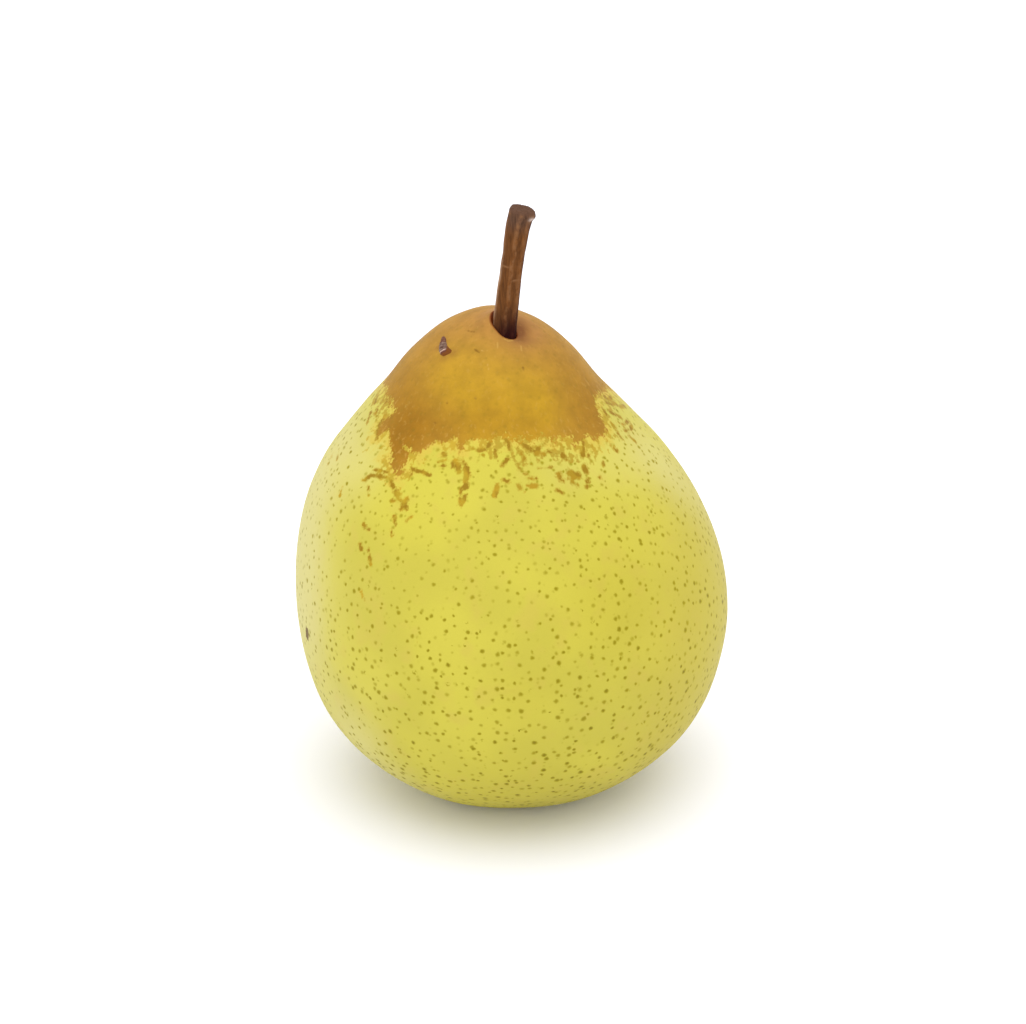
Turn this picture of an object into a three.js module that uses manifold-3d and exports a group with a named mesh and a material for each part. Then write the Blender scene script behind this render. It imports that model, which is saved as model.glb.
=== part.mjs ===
// A whole white pear with its stalk, standing on the low rim round its eye.
// Millimetres, +Z up. The stalk leans a little to the right (+X) and to the front (-Y).
// Three pieces: the fruit, which is one solid body of skin and flesh, the woody stalk
// sunk in its top, and the withered eye in the hollow underneath.
import * as THREE from "three";
import { mergeVertices } from "three/addons/utils/BufferGeometryUtils.js";
import Module from "manifold-3d";

const { clamp, degToRad, lerp, radToDeg, smoothstep } = THREE.MathUtils;
const wasm = await Module();
wasm.setup();

// Fruit: distance of the skin from the centre of the fruit, by latitude in degrees.
// It is 76 wide and 86.5 tall, widest a little under half way up, with a blunt narrow top.
const CENTRE_HEIGHT = 42.7;
const LATITUDES = [-90, -72, -55, -40, -25, -10, 5, 20, 30, 39, 48, 58, 68, 79, 90];
const RADII = [42.3, 45.0, 44.4, 43.4, 40.8, 38.4, 36.3, 34.8, 34.2, 33.8, 34.1, 35.3, 38.3, 41.8, 43.8];
// The upper half leans to the left and back, so that its crest stands behind the stalk.
const LEAN_RIGHT = -3.6;
const LEAN_BACK = 3.5;
const LEAN_FROM = 28.6;
const LEAN_TO = 72.5;
// Soft unevenness: five faint ribs near the eye, and broad waves round the middle.
const RIBS = 5;
const RIB_HEIGHT = 0.4;
const RIBS_FROM = degToRad(25);
const RIBS_FULL = degToRad(70);
const WAVE_HEIGHT = 0.22;

// Hollow round the eye. What would reach below the ground there is the flat rim.
const BASIN_DEPTH = 6.2;
const BASIN_RADIUS = 12.5;

// Rim round the stalk: its middle lies in front of the crest and to the right of it. The flesh
// stands up as a lip on the stalk's left and sinks a little on its right.
const RIM_TILT = degToRad(8.3);
const RIM_TOWARDS = new THREE.Vector2(0.33, -0.94).normalize();
const RIM_LIFT = 0.97;
const RIM_SWING = 1.36;
const LIP_ANGLE = degToRad(160);
const RIM_RADIUS = 1.85;
const RIM_SPREAD = 4.2;

// Stalk: its length above the skin and below it, the way that it leaves the fruit, and its
// radii from the sunk end to the cut end.
const STALK_LENGTH = 22;
const STALK_SUNK = 6;
const STALK_LEAN_RIGHT = degToRad(1.6);
const STALK_LEAN_FRONT = degToRad(6);
const STALK_BEND_RIGHT = 2.1;
const STALK_BEND_POWER = 1.33;
const STALK_STATIONS = [0, 0.2, 0.45, 0.7, 0.88, 0.96, 1];
const STALK_RADII = [1.74, 1.98, 1.94, 1.85, 2.01, 1.96, 1.94];
const STALK_RIDGES = [
  { count: 3, height: 0.05, turn: 0.5 },
  { count: 5, height: 0.025, turn: 1.7 },
];
// The cut at its end slopes down to the right, where the wood is swollen.
const CUT_FROM = 0.86;
const CUT_SLOPE = degToRad(6.4);
const CUT_SWELLING = 0.38;
const CUT_DOME = 0.35;

// Eye: a withered cup with the stubs of five sepals, open at the bottom.
const EYE_RADIUS = 3.3;
const EYE_WALL = 0.9;
const EYE_SUNK = 1.6;
const EYE_FLOOR = 1;
const EYE_EDGE = 0.5;
const STUB_LENGTHS = [2.3, 1.3, 2.6, 1.7, 2.1];
const STUB_ROOT = 0.9;

// Room between one piece and the next.
const GAP = 0.3;

// Steps of the meshes, and how much the rings of the fruit crowd towards its two ends.
const FRUIT_SIDES = 72;
const FRUIT_RINGS = 52;
const CROWDING = 0.72;
const STALK_SIDES = 20;
const STALK_RINGS = 26;
const EYE_SIDES = 40;

const SKIN_COLOUR = 0xd9cd51;
const WOOD_COLOUR = 0x7a5233;
const WITHERED_COLOUR = 0x4a3524;

// A closed surface through rings of points, with a point at each end. The rings run
// anticlockwise as seen from the last end.
function closedSurface(firstPole, rings, lastPole) {
  const sides = rings[0].length;
  const points = [firstPole, ...rings.flat(), lastPole];
  const last = points.length - 1;
  const faces = [];
  for (let j = 0; j < sides; j++) {
    const k = (j + 1) % sides;
    faces.push(0, 1 + k, 1 + j);
    for (let i = 0; i < rings.length - 1; i++) {
      const low = 1 + i * sides;
      const high = low + sides;
      faces.push(low + j, low + k, high + k, low + j, high + k, high + j);
    }
    faces.push(last, last - sides + j, last - sides + k);
  }
  const geometry = new THREE.BufferGeometry().setFromPoints(points);
  geometry.setIndex(faces);
  return geometry;
}

function toSolid(geometry) {
  const merged = mergeVertices(geometry, 1e-4);
  return new wasm.Manifold(
    new wasm.Mesh({
      numProp: 3,
      vertProperties: merged.attributes.position.array,
      triVerts: new Uint32Array(merged.index.array),
    }),
  );
}

function toGeometry(solid) {
  const mesh = solid.getMesh();
  const geometry = new THREE.BufferGeometry();
  geometry.setAttribute("position", new THREE.BufferAttribute(mesh.vertProperties, 3));
  geometry.setIndex(new THREE.BufferAttribute(mesh.triVerts, 1));
  return geometry;
}

// A smooth curve through values at given places, level at both ends.
function curveThrough(places, values) {
  const curve = new THREE.CubicInterpolant(places, values, 1);
  curve.settings = {
    endingStart: THREE.ZeroSlopeEnding,
    endingEnd: THREE.ZeroSlopeEnding,
  };
  return (place) => curve.evaluate(place)[0];
}

const radiusAt = curveThrough(LATITUDES, RADII);

// The skin before its two hollows: the point of the fruit in one direction from its centre.
function bareSkin(direction) {
  const latitude = Math.asin(clamp(direction.z, -1, 1));
  const around = Math.atan2(direction.y, direction.x);
  const level = Math.cos(latitude);
  const nearEye = smoothstep(-latitude, RIBS_FROM, RIBS_FULL);
  const ribs = RIB_HEIGHT * nearEye * level * Math.sin(RIBS * around);
  const waves =
    WAVE_HEIGHT * level ** 2 * (Math.sin(3 * around) * Math.cos(4 * latitude) + Math.sin(2 * around));
  const radius = radiusAt(radToDeg(latitude)) + ribs + waves;
  const point = direction.clone().multiplyScalar(radius);
  point.z += CENTRE_HEIGHT;
  const lean = smoothstep(point.z, LEAN_FROM, LEAN_TO);
  point.x += LEAN_RIGHT * lean;
  point.y += LEAN_BACK * lean;
  return point;
}

// The direction of a place on the grid. The grid's upper pole is tilted to the stalk, and its
// lower pole stays under the centre.
const TILT_AXIS = new THREE.Vector3(-RIM_TOWARDS.y, RIM_TOWARDS.x, 0);
function gridDirection(latitude, around) {
  const level = Math.cos(latitude);
  const direction = new THREE.Vector3(
    level * Math.cos(around),
    level * Math.sin(around),
    Math.sin(latitude),
  );
  const tilt = RIM_TILT * smoothstep(latitude, 0, Math.PI / 2);
  return direction.applyAxisAngle(TILT_AXIS, tilt);
}

const DOWN = new THREE.Vector3(0, 0, -1);
const toStalk = gridDirection(Math.PI / 2, 0);
const stalkRoot = bareSkin(toStalk);
const stalkWay = new THREE.Vector3(
  Math.tan(STALK_LEAN_RIGHT),
  -Math.tan(STALK_LEAN_FRONT),
  1,
).normalize();
const across = new THREE.Vector3(1, 0, 0).addScaledVector(stalkWay, -stalkWay.x).normalize();
const behind = new THREE.Vector3().crossVectors(stalkWay, across);

// The skin with its hollow and its rim. The basin lifts the skin round the eye, and the rim
// moves it along the stalk.
function skin(direction) {
  const point = bareSkin(direction);
  if (direction.z < 0) {
    const away = Math.hypot(point.x, point.y) / BASIN_RADIUS;
    point.z += BASIN_DEPTH * (1 - smoothstep(away, 0, 1));
    point.z = Math.max(point.z, 0);
    return point;
  }
  const beside = point.clone().sub(stalkRoot);
  const right = beside.dot(across);
  const back = beside.dot(behind);
  const away = Math.hypot(right, back);
  const facing = Math.cos(Math.atan2(back, right) - LIP_ANGLE) * smoothstep(away, 0, RIM_RADIUS);
  const fading = Math.exp((RIM_RADIUS ** 2 - away ** 2) / RIM_SPREAD ** 2);
  return point.addScaledVector(stalkWay, (RIM_LIFT + RIM_SWING * facing) * fading);
}

// Rings from the eye to the stalk, crowded towards both, where the skin bends most.
function fruitBody() {
  const rings = [];
  for (let i = 1; i < FRUIT_RINGS; i++) {
    const place = (2 * i) / FRUIT_RINGS - 1;
    const latitude = (Math.PI / 2) * (place + (CROWDING * Math.sin(Math.PI * place)) / Math.PI);
    const ring = [];
    for (let j = 0; j < FRUIT_SIDES; j++)
      ring.push(skin(gridDirection(latitude, (2 * Math.PI * j) / FRUIT_SIDES)));
    rings.push(ring);
  }
  return closedSurface(skin(DOWN), rings, skin(toStalk));
}

// The stalk: a ridged section carried along a line that bends to the right. It ends in the
// sloping cut. room makes the same shape larger all round.
const stalkRadiusAt = curveThrough(STALK_STATIONS, STALK_RADII);
function stalkBody(room) {
  const middle = (along) => {
    const above = along * (STALK_SUNK + STALK_LENGTH) - STALK_SUNK;
    const bend = STALK_BEND_RIGHT * (Math.max(0, above) / STALK_LENGTH) ** STALK_BEND_POWER;
    return stalkRoot.clone().addScaledVector(stalkWay, above).addScaledVector(across, bend);
  };
  const rings = [];
  for (let i = 0; i <= STALK_RINGS; i++) {
    const along = i / STALK_RINGS;
    const cut = smoothstep(along, CUT_FROM, 1);
    const ring = [];
    for (let j = 0; j < STALK_SIDES; j++) {
      const angle = (2 * Math.PI * j) / STALK_SIDES;
      const right = Math.cos(angle);
      let radius = stalkRadiusAt(along);
      for (const { count, height, turn } of STALK_RIDGES)
        radius *= 1 + height * Math.cos(count * angle + turn);
      radius += room + CUT_SWELLING * cut * Math.max(0, right) ** 2;
      const drop = cut * Math.tan(CUT_SLOPE) * radius * right;
      const point = middle(along);
      point.addScaledVector(across, radius * right);
      point.addScaledVector(behind, radius * Math.sin(angle));
      point.addScaledVector(stalkWay, -drop);
      if (i === 0) point.addScaledVector(stalkWay, -room);
      ring.push(point);
    }
    rings.push(ring);
  }
  const foot = middle(0).addScaledVector(stalkWay, -room);
  const crown = middle(1).addScaledVector(stalkWay, CUT_DOME);
  return closedSurface(foot, rings, crown);
}

// The eye: rings down its outside, over its ragged edge, up its inside and to its floor.
const basinTop = skin(DOWN).z;
const eyeRoof = basinTop + EYE_SUNK;
function stubLength(around) {
  const turn = (around / (2 * Math.PI)) * STUB_LENGTHS.length;
  const stub = STUB_LENGTHS[Math.floor(turn) % STUB_LENGTHS.length];
  return lerp(STUB_ROOT, stub, Math.sin(Math.PI * (turn % 1)) ** 1.5);
}

function eyeBody() {
  const inside = EYE_RADIUS - EYE_WALL;
  const stations = [
    { radius: EYE_RADIUS - EYE_EDGE, height: eyeRoof, hang: 0 },
    { radius: EYE_RADIUS, height: eyeRoof - EYE_EDGE, hang: 0 },
    { radius: EYE_RADIUS, height: basinTop, hang: 0 },
    { radius: EYE_RADIUS + 0.2, height: basinTop, hang: 0.6 },
    { radius: EYE_RADIUS - 0.1, height: basinTop, hang: 1 },
    { radius: inside, height: basinTop, hang: 0.8 },
    { radius: inside - 0.2, height: basinTop, hang: 0 },
    { radius: inside - 0.5, height: eyeRoof - EYE_FLOOR, hang: 0 },
  ];
  const rings = stations.map(({ radius, height, hang }) => {
    const ring = [];
    for (let j = 0; j < EYE_SIDES; j++) {
      const around = 2 * Math.PI * (1 - j / EYE_SIDES);
      const low = height - hang * stubLength(around);
      ring.push(new THREE.Vector3(radius * Math.cos(around), radius * Math.sin(around), low));
    }
    return ring;
  });
  const roof = new THREE.Vector3(0, 0, eyeRoof);
  const floor = new THREE.Vector3(0, 0, eyeRoof - EYE_FLOOR);
  return closedSurface(roof, rings, floor);
}

// The recess that the eye sits in: a plain round hole in the top of the basin.
function eyeRecess() {
  const top = eyeRoof + GAP;
  const bottom = basinTop - EYE_SUNK;
  const radius = EYE_RADIUS + GAP;
  const recess = new THREE.CylinderGeometry(radius, radius, top - bottom, EYE_SIDES);
  recess.rotateX(Math.PI / 2);
  recess.translate(0, 0, (top + bottom) / 2);
  recess.deleteAttribute("normal");
  recess.deleteAttribute("uv");
  return recess;
}

function makeFruit() {
  const socket = toSolid(stalkBody(GAP));
  const recess = toSolid(eyeRecess());
  const body = toSolid(fruitBody()).subtract(socket).subtract(recess);
  const skinLook = new THREE.MeshStandardMaterial({ color: SKIN_COLOUR, roughness: 0.45, metalness: 0 });
  const fruit = new THREE.Mesh(toGeometry(body), skinLook);
  fruit.name = "fruit";
  return fruit;
}

function makeStalk() {
  const wood = new THREE.MeshStandardMaterial({ color: WOOD_COLOUR, roughness: 0.7, metalness: 0 });
  const stalk = new THREE.Mesh(stalkBody(0), wood);
  stalk.name = "stem";
  return stalk;
}

function makeEye() {
  const withered = new THREE.MeshStandardMaterial({
    color: WITHERED_COLOUR,
    roughness: 0.9,
    metalness: 0,
  });
  const eye = new THREE.Mesh(eyeBody(), withered);
  eye.name = "calyx";
  return eye;
}

// The origin is on the ground under the middle of the whole pear.
const pear = new THREE.Group();
pear.name = "pear";
pear.add(makeFruit(), makeStalk(), makeEye());
const middle = new THREE.Box3().setFromObject(pear).getCenter(new THREE.Vector3());
pear.position.set(-middle.x, -middle.y, 0);

export default pear;
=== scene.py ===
# %% [markdown]
# # A white pear from formulas
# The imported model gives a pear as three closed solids: the fruit, its woody stalk and the
# withered eye underneath. Here each gets a finer surface of the same form, worked out with
# numpy, and a finish made of shader nodes. Lengths in the formulas are millimetres, because a
# pear is easy to think of in millimetres. They become metres when a mesh is made.

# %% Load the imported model
import math
import bpy
import numpy as np
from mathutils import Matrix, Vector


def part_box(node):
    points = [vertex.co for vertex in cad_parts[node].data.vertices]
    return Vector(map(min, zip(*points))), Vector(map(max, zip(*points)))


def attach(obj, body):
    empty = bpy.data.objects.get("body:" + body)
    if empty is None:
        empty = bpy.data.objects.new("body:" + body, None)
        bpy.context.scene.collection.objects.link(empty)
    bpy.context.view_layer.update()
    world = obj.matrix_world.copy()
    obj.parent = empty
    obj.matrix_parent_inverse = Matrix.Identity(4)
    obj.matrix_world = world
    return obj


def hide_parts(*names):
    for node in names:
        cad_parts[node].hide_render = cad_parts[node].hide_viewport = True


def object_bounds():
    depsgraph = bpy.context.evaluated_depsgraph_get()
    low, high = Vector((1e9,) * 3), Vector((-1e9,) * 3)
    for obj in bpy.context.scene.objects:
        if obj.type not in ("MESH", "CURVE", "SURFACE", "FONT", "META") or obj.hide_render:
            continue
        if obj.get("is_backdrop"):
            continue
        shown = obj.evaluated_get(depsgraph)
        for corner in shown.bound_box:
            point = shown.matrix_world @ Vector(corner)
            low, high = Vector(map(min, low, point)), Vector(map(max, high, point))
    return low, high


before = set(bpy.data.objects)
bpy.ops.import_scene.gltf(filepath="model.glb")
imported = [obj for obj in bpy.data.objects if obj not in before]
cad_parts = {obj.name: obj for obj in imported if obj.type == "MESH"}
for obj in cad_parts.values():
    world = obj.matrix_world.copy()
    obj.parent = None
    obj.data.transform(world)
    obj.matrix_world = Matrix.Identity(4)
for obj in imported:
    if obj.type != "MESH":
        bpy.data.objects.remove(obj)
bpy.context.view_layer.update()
MM = 0.001

# %% [markdown]
# ## Small tools for shapes
# Three functions do most of the shaping. A smooth step fades one form into another, a curve
# through a few values gives a profile without corners, and soft noise gives the slow
# unevenness that everything grown has. All three take whole arrays at once.

# %% Smooth step, curve and noise
def smoothstep(value, low, high):
    """0 below low, 1 above high, and between them 3t^2 - 2t^3 of the share t that is passed."""
    share = np.clip((value - low) / (high - low), 0, 1)
    return share * share * (3 - 2 * share)


def curve_through(places, values, at):
    """A smooth curve through values at places: a cubic between each two. Its slope at a place is
    that of the line between the neighbours, and it is level at both ends."""
    slopes = np.zeros(len(places))
    slopes[1:-1] = (values[2:] - values[:-2]) / (places[2:] - places[:-2])
    i = np.clip(np.searchsorted(places, at, side="right") - 1, 0, len(places) - 2)
    width = places[i + 1] - places[i]
    t = (at - places[i]) / width
    start = (1 + 2 * t) * (1 - t) ** 2 * values[i] + t * (1 - t) ** 2 * width * slopes[i]
    end = t * t * (3 - 2 * t) * values[i + 1] + t * t * (t - 1) * width * slopes[i + 1]
    return start + end


def soft_noise(points, size, seed):
    """Noise from -1 to 1: the corners of a lattice with steps of size have random values, and a
    point between eight corners gets their smooth mix."""
    lattice = np.random.default_rng(seed).uniform(-1, 1, (32, 32, 32))
    place = points / size
    corner = np.floor(place).astype(int)
    share = smoothstep(place - corner, 0, 1)
    total = 0
    for step in np.ndindex(2, 2, 2):
        weight = np.prod(np.abs(1 - np.array(step) - share), axis=-1)
        i, j, k = np.moveaxis((corner + step) % 32, -1, 0)
        total = total + weight * lattice[i, j, k]
    return total


def unit(vectors):
    return vectors / np.linalg.norm(vectors, axis=-1, keepdims=True)


# %% [markdown]
# ## The form of the fruit
# A pear could be sculpted, or turned from a profile. A formula is exact and can be sampled as
# finely as the skin needs, so the fruit is a radius by latitude round a centre. Its upper half
# leans left and back, five faint ribs stand near the eye, and broad waves run round the middle.
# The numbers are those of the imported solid, so the fine skin lies where the solid does.

# %% The bare fruit, before its hollows
CENTRE_HEIGHT = 42.7
LATITUDES = np.array([-90, -72, -55, -40, -25, -10, 5, 20, 30, 39, 48, 58, 68, 79, 90.0])
RADII = np.array(
    [42.3, 45.0, 44.4, 43.4, 40.8, 38.4, 36.3, 34.8, 34.2, 33.8, 34.1, 35.3, 38.3, 41.8, 43.8]
)
LEAN = np.array([-3.6, 3.5])
LEAN_FROM, LEAN_TO = 28.6, 72.5
RIBS, RIB_HEIGHT = 5, 0.4
RIBS_FROM, RIBS_FULL = math.radians(25), math.radians(70)
WAVE_HEIGHT = 0.22


def bare_skin(direction):
    """The point of the fruit in a direction from its centre: the radius for its latitude, plus
    ribs (sine of 5 times the angle around) and waves (sines of 2 and 3 times it), then a shift
    sideways that grows with the height."""
    latitude = np.arcsin(np.clip(direction[..., 2], -1, 1))
    around = np.arctan2(direction[..., 1], direction[..., 0])
    level = np.cos(latitude)
    near_eye = smoothstep(-latitude, RIBS_FROM, RIBS_FULL)
    ribs = RIB_HEIGHT * near_eye * level * np.sin(RIBS * around)
    waves = np.sin(3 * around) * np.cos(4 * latitude) + np.sin(2 * around)
    radius = curve_through(LATITUDES, RADII, np.degrees(latitude))
    point = direction * (radius + ribs + WAVE_HEIGHT * level**2 * waves)[..., None]
    point[..., 2] += CENTRE_HEIGHT
    point[..., :2] += LEAN * smoothstep(point[..., 2], LEAN_FROM, LEAN_TO)[..., None]
    return point


# %% [markdown]
# The grid of directions has its lower pole under the centre and its upper pole where the stalk
# leaves the fruit, so that the rings up there run round the stalk and can follow its edge.

# %% Directions of the grid, and where the stalk leaves the fruit
RIM_TILT = math.radians(8.3)
RIM_TOWARDS = unit(np.array([0.33, -0.94]))
TILT_AXIS = np.array([-RIM_TOWARDS[1], RIM_TOWARDS[0], 0])
STALK_WAY = unit(np.array([math.tan(math.radians(1.6)), -math.tan(math.radians(6)), 1]))
STALK_ACROSS = unit(np.array([1, 0, 0]) - STALK_WAY[0] * STALK_WAY)
STALK_BEHIND = np.cross(STALK_WAY, STALK_ACROSS)


def grid_direction(latitude, around):
    """A direction by latitude and angle around, turned towards the stalk the more the higher it
    is. The turn is Rodrigues' formula about the level axis across the stalk's direction."""
    level = np.cos(latitude)
    parts = level * np.cos(around), level * np.sin(around), np.sin(latitude)
    way = np.stack(np.broadcast_arrays(*parts), -1)
    turn = RIM_TILT * smoothstep(latitude, 0, math.pi / 2)
    turn = np.broadcast_to(turn, way.shape[:-1])[..., None]
    along = (way @ TILT_AXIS)[..., None] * TILT_AXIS
    return way * np.cos(turn) + np.cross(TILT_AXIS, way) * np.sin(turn) + along * (1 - np.cos(turn))


STALK_ROOT = bare_skin(grid_direction(math.pi / 2, 0.0))
print("the stalk leaves the fruit at", STALK_ROOT.round(2))

# %% [markdown]
# ## The stalk's outline
# The skin closes round the stalk, so the stalk's own outline is needed before the skin's
# hollows. It is a round section with three and five soft ridges.

# %% Radius of the stalk
STALK_LENGTH, STALK_SUNK = 22.0, 6.0
STALK_STATIONS = np.array([0, 0.2, 0.45, 0.7, 0.88, 0.96, 1])
STALK_RADII = np.array([1.74, 1.98, 1.94, 1.85, 2.01, 1.96, 1.94])
STALK_RIDGES = ((3, 0.05, 0.5), (5, 0.025, 1.7))
SKIN_LEVEL = STALK_SUNK / (STALK_SUNK + STALK_LENGTH)


def stalk_radius(along, angle):
    """The stalk's radius at a share of its length: a curve through seven radii, times 1 plus a
    small cosine for each set of ridges."""
    radius = curve_through(STALK_STATIONS, STALK_RADII, along)
    for count, height, turn in STALK_RIDGES:
        radius = radius * (1 + height * np.cos(count * angle + turn))
    return radius


# %% [markdown]
# ## The skin's hollows
# The basin underneath lifts the skin round the eye, and what would reach below the ground is the
# flat rim that the pear rests on. On this kind of pear the flesh swells up beside the stalk: it
# stands as a lip on the left and sinks a little on the right. The skin ends in a tight wall
# round the stalk, with an open crease at the left where skin and wood have parted.

# %% Basin, rim of the stalk, socket and recess
BASIN_DEPTH, BASIN_RADIUS = 6.2, 12.5
RIM_LIFT, RIM_SWING, LIP_ANGLE = 0.97, 1.36, math.radians(160)
RIM_RADIUS, RIM_SPREAD = 1.85, 4.2
SOCKET_DEPTH, SOCKET_WALL = 6.3, 0.3
GROOVE_DEPTH, GROOVE_WIDTH = 0.2, 0.13
CREASE_TOWARDS, CREASE_DEPTH, CREASE_WIDTH = np.array([-0.92, 0.38]), 0.8, 0.6
EYE_RADIUS, EYE_SUNK = 3.3, 1.6
RECESS_WALL = 0.35


def beside_stalk(point):
    """How far a point lies from the stalk's line, its angle round that line, how far it is
    outside the stalk, and how much it faces the crease, from 0 to 1."""
    offset = point - STALK_ROOT
    right, back = offset @ STALK_ACROSS, offset @ STALK_BEHIND
    away, angle = np.hypot(right, back), np.arctan2(back, right)
    facing = (right * CREASE_TOWARDS[0] + back * CREASE_TOWARDS[1]) / np.maximum(away, 1e-6)
    return away, angle, away - stalk_radius(SKIN_LEVEL, angle), np.maximum(0, facing) ** 3


def rim_top(point):
    """The rim lifts the skin by a middle amount plus a swing by the cosine of the angle from the
    lip, and fades with the square of the distance. Beside the stalk a groove is rounded off the
    skin, deep and wide in the crease, and inside the stalk the skin drops to the socket's
    floor."""
    away, angle, outside, creased = beside_stalk(point)
    facing = np.cos(angle - LIP_ANGLE) * smoothstep(away, 0, RIM_RADIUS)
    lift = (RIM_LIFT + RIM_SWING * facing) * np.exp((RIM_RADIUS**2 - away**2) / RIM_SPREAD**2)
    width = GROOVE_WIDTH + (CREASE_WIDTH - GROOVE_WIDTH) * creased
    depth = GROOVE_DEPTH + (CREASE_DEPTH - GROOVE_DEPTH) * creased
    lift = lift - depth * (1 - smoothstep(outside / width, 0, 1))
    height = (point - STALK_ROOT) @ STALK_WAY + lift
    inside = 1 - smoothstep(outside, -SOCKET_WALL, 0)
    lift = lift - (height + SOCKET_DEPTH) * inside
    return point + lift[..., None] * STALK_WAY


def hollow_bottom(point):
    """The basin is a smooth dish 6.2 deep. At its middle the skin steps up into the recess of
    the eye, and nothing lies below the ground."""
    away = np.hypot(point[..., 0], point[..., 1])
    height = point[..., 2] + BASIN_DEPTH * (1 - smoothstep(away / BASIN_RADIUS, 0, 1))
    recess = 1 - smoothstep(away, EYE_RADIUS - RECESS_WALL, EYE_RADIUS)
    point = point.copy()
    point[..., 2] = np.maximum(height, 0) + (EYE_SUNK + 0.1) * recess
    return point


def skin(direction):
    point = bare_skin(direction)
    below = (direction[..., 2] < 0)[..., None]
    return np.where(below, hollow_bottom(point), rim_top(point))


BASIN_TOP = CENTRE_HEIGHT - RADII[0] + BASIN_DEPTH
print("the basin's top is", round(BASIN_TOP, 2), "mm above the ground")

# %% [markdown]
# ## Sampling the skin
# The rings crowd where the skin bends sharply or carries fine marks: at the border of the russet
# cap, on the rim and round the stalk. The columns crowd on the front, which the camera sees.

# %% Places of the rings and columns
FRUIT_SIDES, FRUIT_RINGS = 324, 300
RING_HUMPS = ((40, 13, 1.5), (-74, 9, 1.4), (90, 4.5, 9))
FRONT, FRONT_CROWDING = -math.pi / 2, 0.5


def crowded_latitudes(count):
    """Latitudes at equal steps of a running sum of density, which is 1 plus a bell for each
    crowded zone (middle, width, height)."""
    fine = np.linspace(-90, 90, 6001)
    density = 1 + sum(h * np.exp(-(((fine - m) / w) ** 2)) for m, w, h in RING_HUMPS)
    running = np.concatenate([[0], np.cumsum((density[1:] + density[:-1]) / 2)])
    return np.radians(np.interp(np.linspace(0, running[-1], count), running, fine))


steps = np.arange(FRUIT_SIDES) * 2 * math.pi / FRUIT_SIDES
columns = steps - FRONT_CROWDING * np.sin(steps - FRONT)
rings = crowded_latitudes(FRUIT_RINGS + 1)
fruit_grid = skin(grid_direction(rings[1:-1, None], columns[None, :]))
fruit_poles = skin(grid_direction(np.radians([-90.0, 90.0]), 0.0))

low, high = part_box("fruit")
cad_middle = np.array([low[0] + high[0], low[1] + high[1]]) / 2 / MM
own_middle = (fruit_grid.reshape(-1, 3).max(0) + fruit_grid.reshape(-1, 3).min(0))[:2] / 2
SHIFT = np.append(cad_middle - own_middle, 0)
print("the formulas' frame is moved by", SHIFT.round(3), "mm onto the packed one")

# %% [markdown]
# A last touch on the form: dimples and swellings too slight to name, from soft noise. They fade
# out towards the flat rim, which has to stay on the ground, and round the stalk.

# %% Slight unevenness of the grown skin
UNEVEN = ((17.0, 0.16), (7.0, 0.06), (2.4, 0.015))


def uneven(point):
    """Noise of three sizes, added along the way from the fruit's centre."""
    way = unit(point - np.array([0, 0, CENTRE_HEIGHT]))
    outside = beside_stalk(point)[2]
    keep = smoothstep(point[..., 2], 0.3, 5) * smoothstep(outside, 0.3, 3)
    swell = sum(h * soft_noise(point, size, 20 + i) for i, (size, h) in enumerate(UNEVEN))
    return point + (keep * swell)[..., None] * way


fruit_grid = uneven(fruit_grid)

# %% [markdown]
# ## From a grid to a mesh
# A grid of rings becomes a closed mesh when each pole gets one point and a fan of triangles. The
# faces run anticlockwise as seen from outside, so they point outwards.

# %% Closed meshes
def ring_faces(ring_count, sides):
    """Corner numbers of the quads between rings, with the first pole as point 0."""
    i, j = np.meshgrid(np.arange(ring_count - 1), np.arange(sides), indexing="ij")
    low, k = 1 + i * sides, (j + 1) % sides
    return np.stack([low + j, low + k, low + sides + k, low + sides + j], -1).reshape(-1, 4)


def closed_surface(grid, first_pole, last_pole):
    """Points and faces of a closed surface through rings, from the first pole to the last."""
    count, sides = grid.shape[:2]
    points = np.concatenate([[first_pole], grid.reshape(-1, 3), [last_pole]])
    j = np.arange(sides)
    k, last = (j + 1) % sides, len(points) - 1
    first_fan = np.stack([0 * j, 1 + k, 1 + j], -1)
    last_fan = np.stack([0 * j + last, last - sides + j, last - sides + k], -1)
    faces = ring_faces(count, sides).tolist() + first_fan.tolist() + last_fan.tolist()
    return points, faces


def make_piece(name, points, faces):
    """A smooth-shaded object at the origin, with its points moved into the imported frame."""
    mesh = bpy.data.meshes.new(name)
    mesh.from_pydata(((points + SHIFT) * MM).tolist(), [], faces)
    mesh.polygons.foreach_set("use_smooth", [True] * len(mesh.polygons))
    mesh.update()
    piece = bpy.data.objects.new(name, mesh)
    bpy.context.scene.collection.objects.link(piece)
    triangles = sum(len(face) - 2 for face in faces)
    print(name, "has", triangles, "triangles")
    return piece


def note(piece, name, values):
    """A number for each point of a piece, which its finish can read by name."""
    attribute = piece.data.attributes.new(name, "FLOAT", "POINT")
    attribute.data.foreach_set("value", np.asarray(values, dtype=np.float32).ravel())


def note_way(piece, name, vectors):
    """A direction for each point of a piece."""
    attribute = piece.data.attributes.new(name, "FLOAT_VECTOR", "POINT")
    attribute.data.foreach_set("vector", np.asarray(vectors, dtype=np.float32).ravel())


fruit_points, fruit_faces = closed_surface(fruit_grid, fruit_poles[0], fruit_poles[1])
fruit = make_piece("pear_skin", fruit_points, fruit_faces)
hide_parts("fruit")
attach(fruit, "root")

# %% [markdown]
# ## The camera
# The camera comes early, because marks that were seen in the picture are put on the skin along
# its rays. It looks down at the pear through a long lens from half a metre away.

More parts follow.
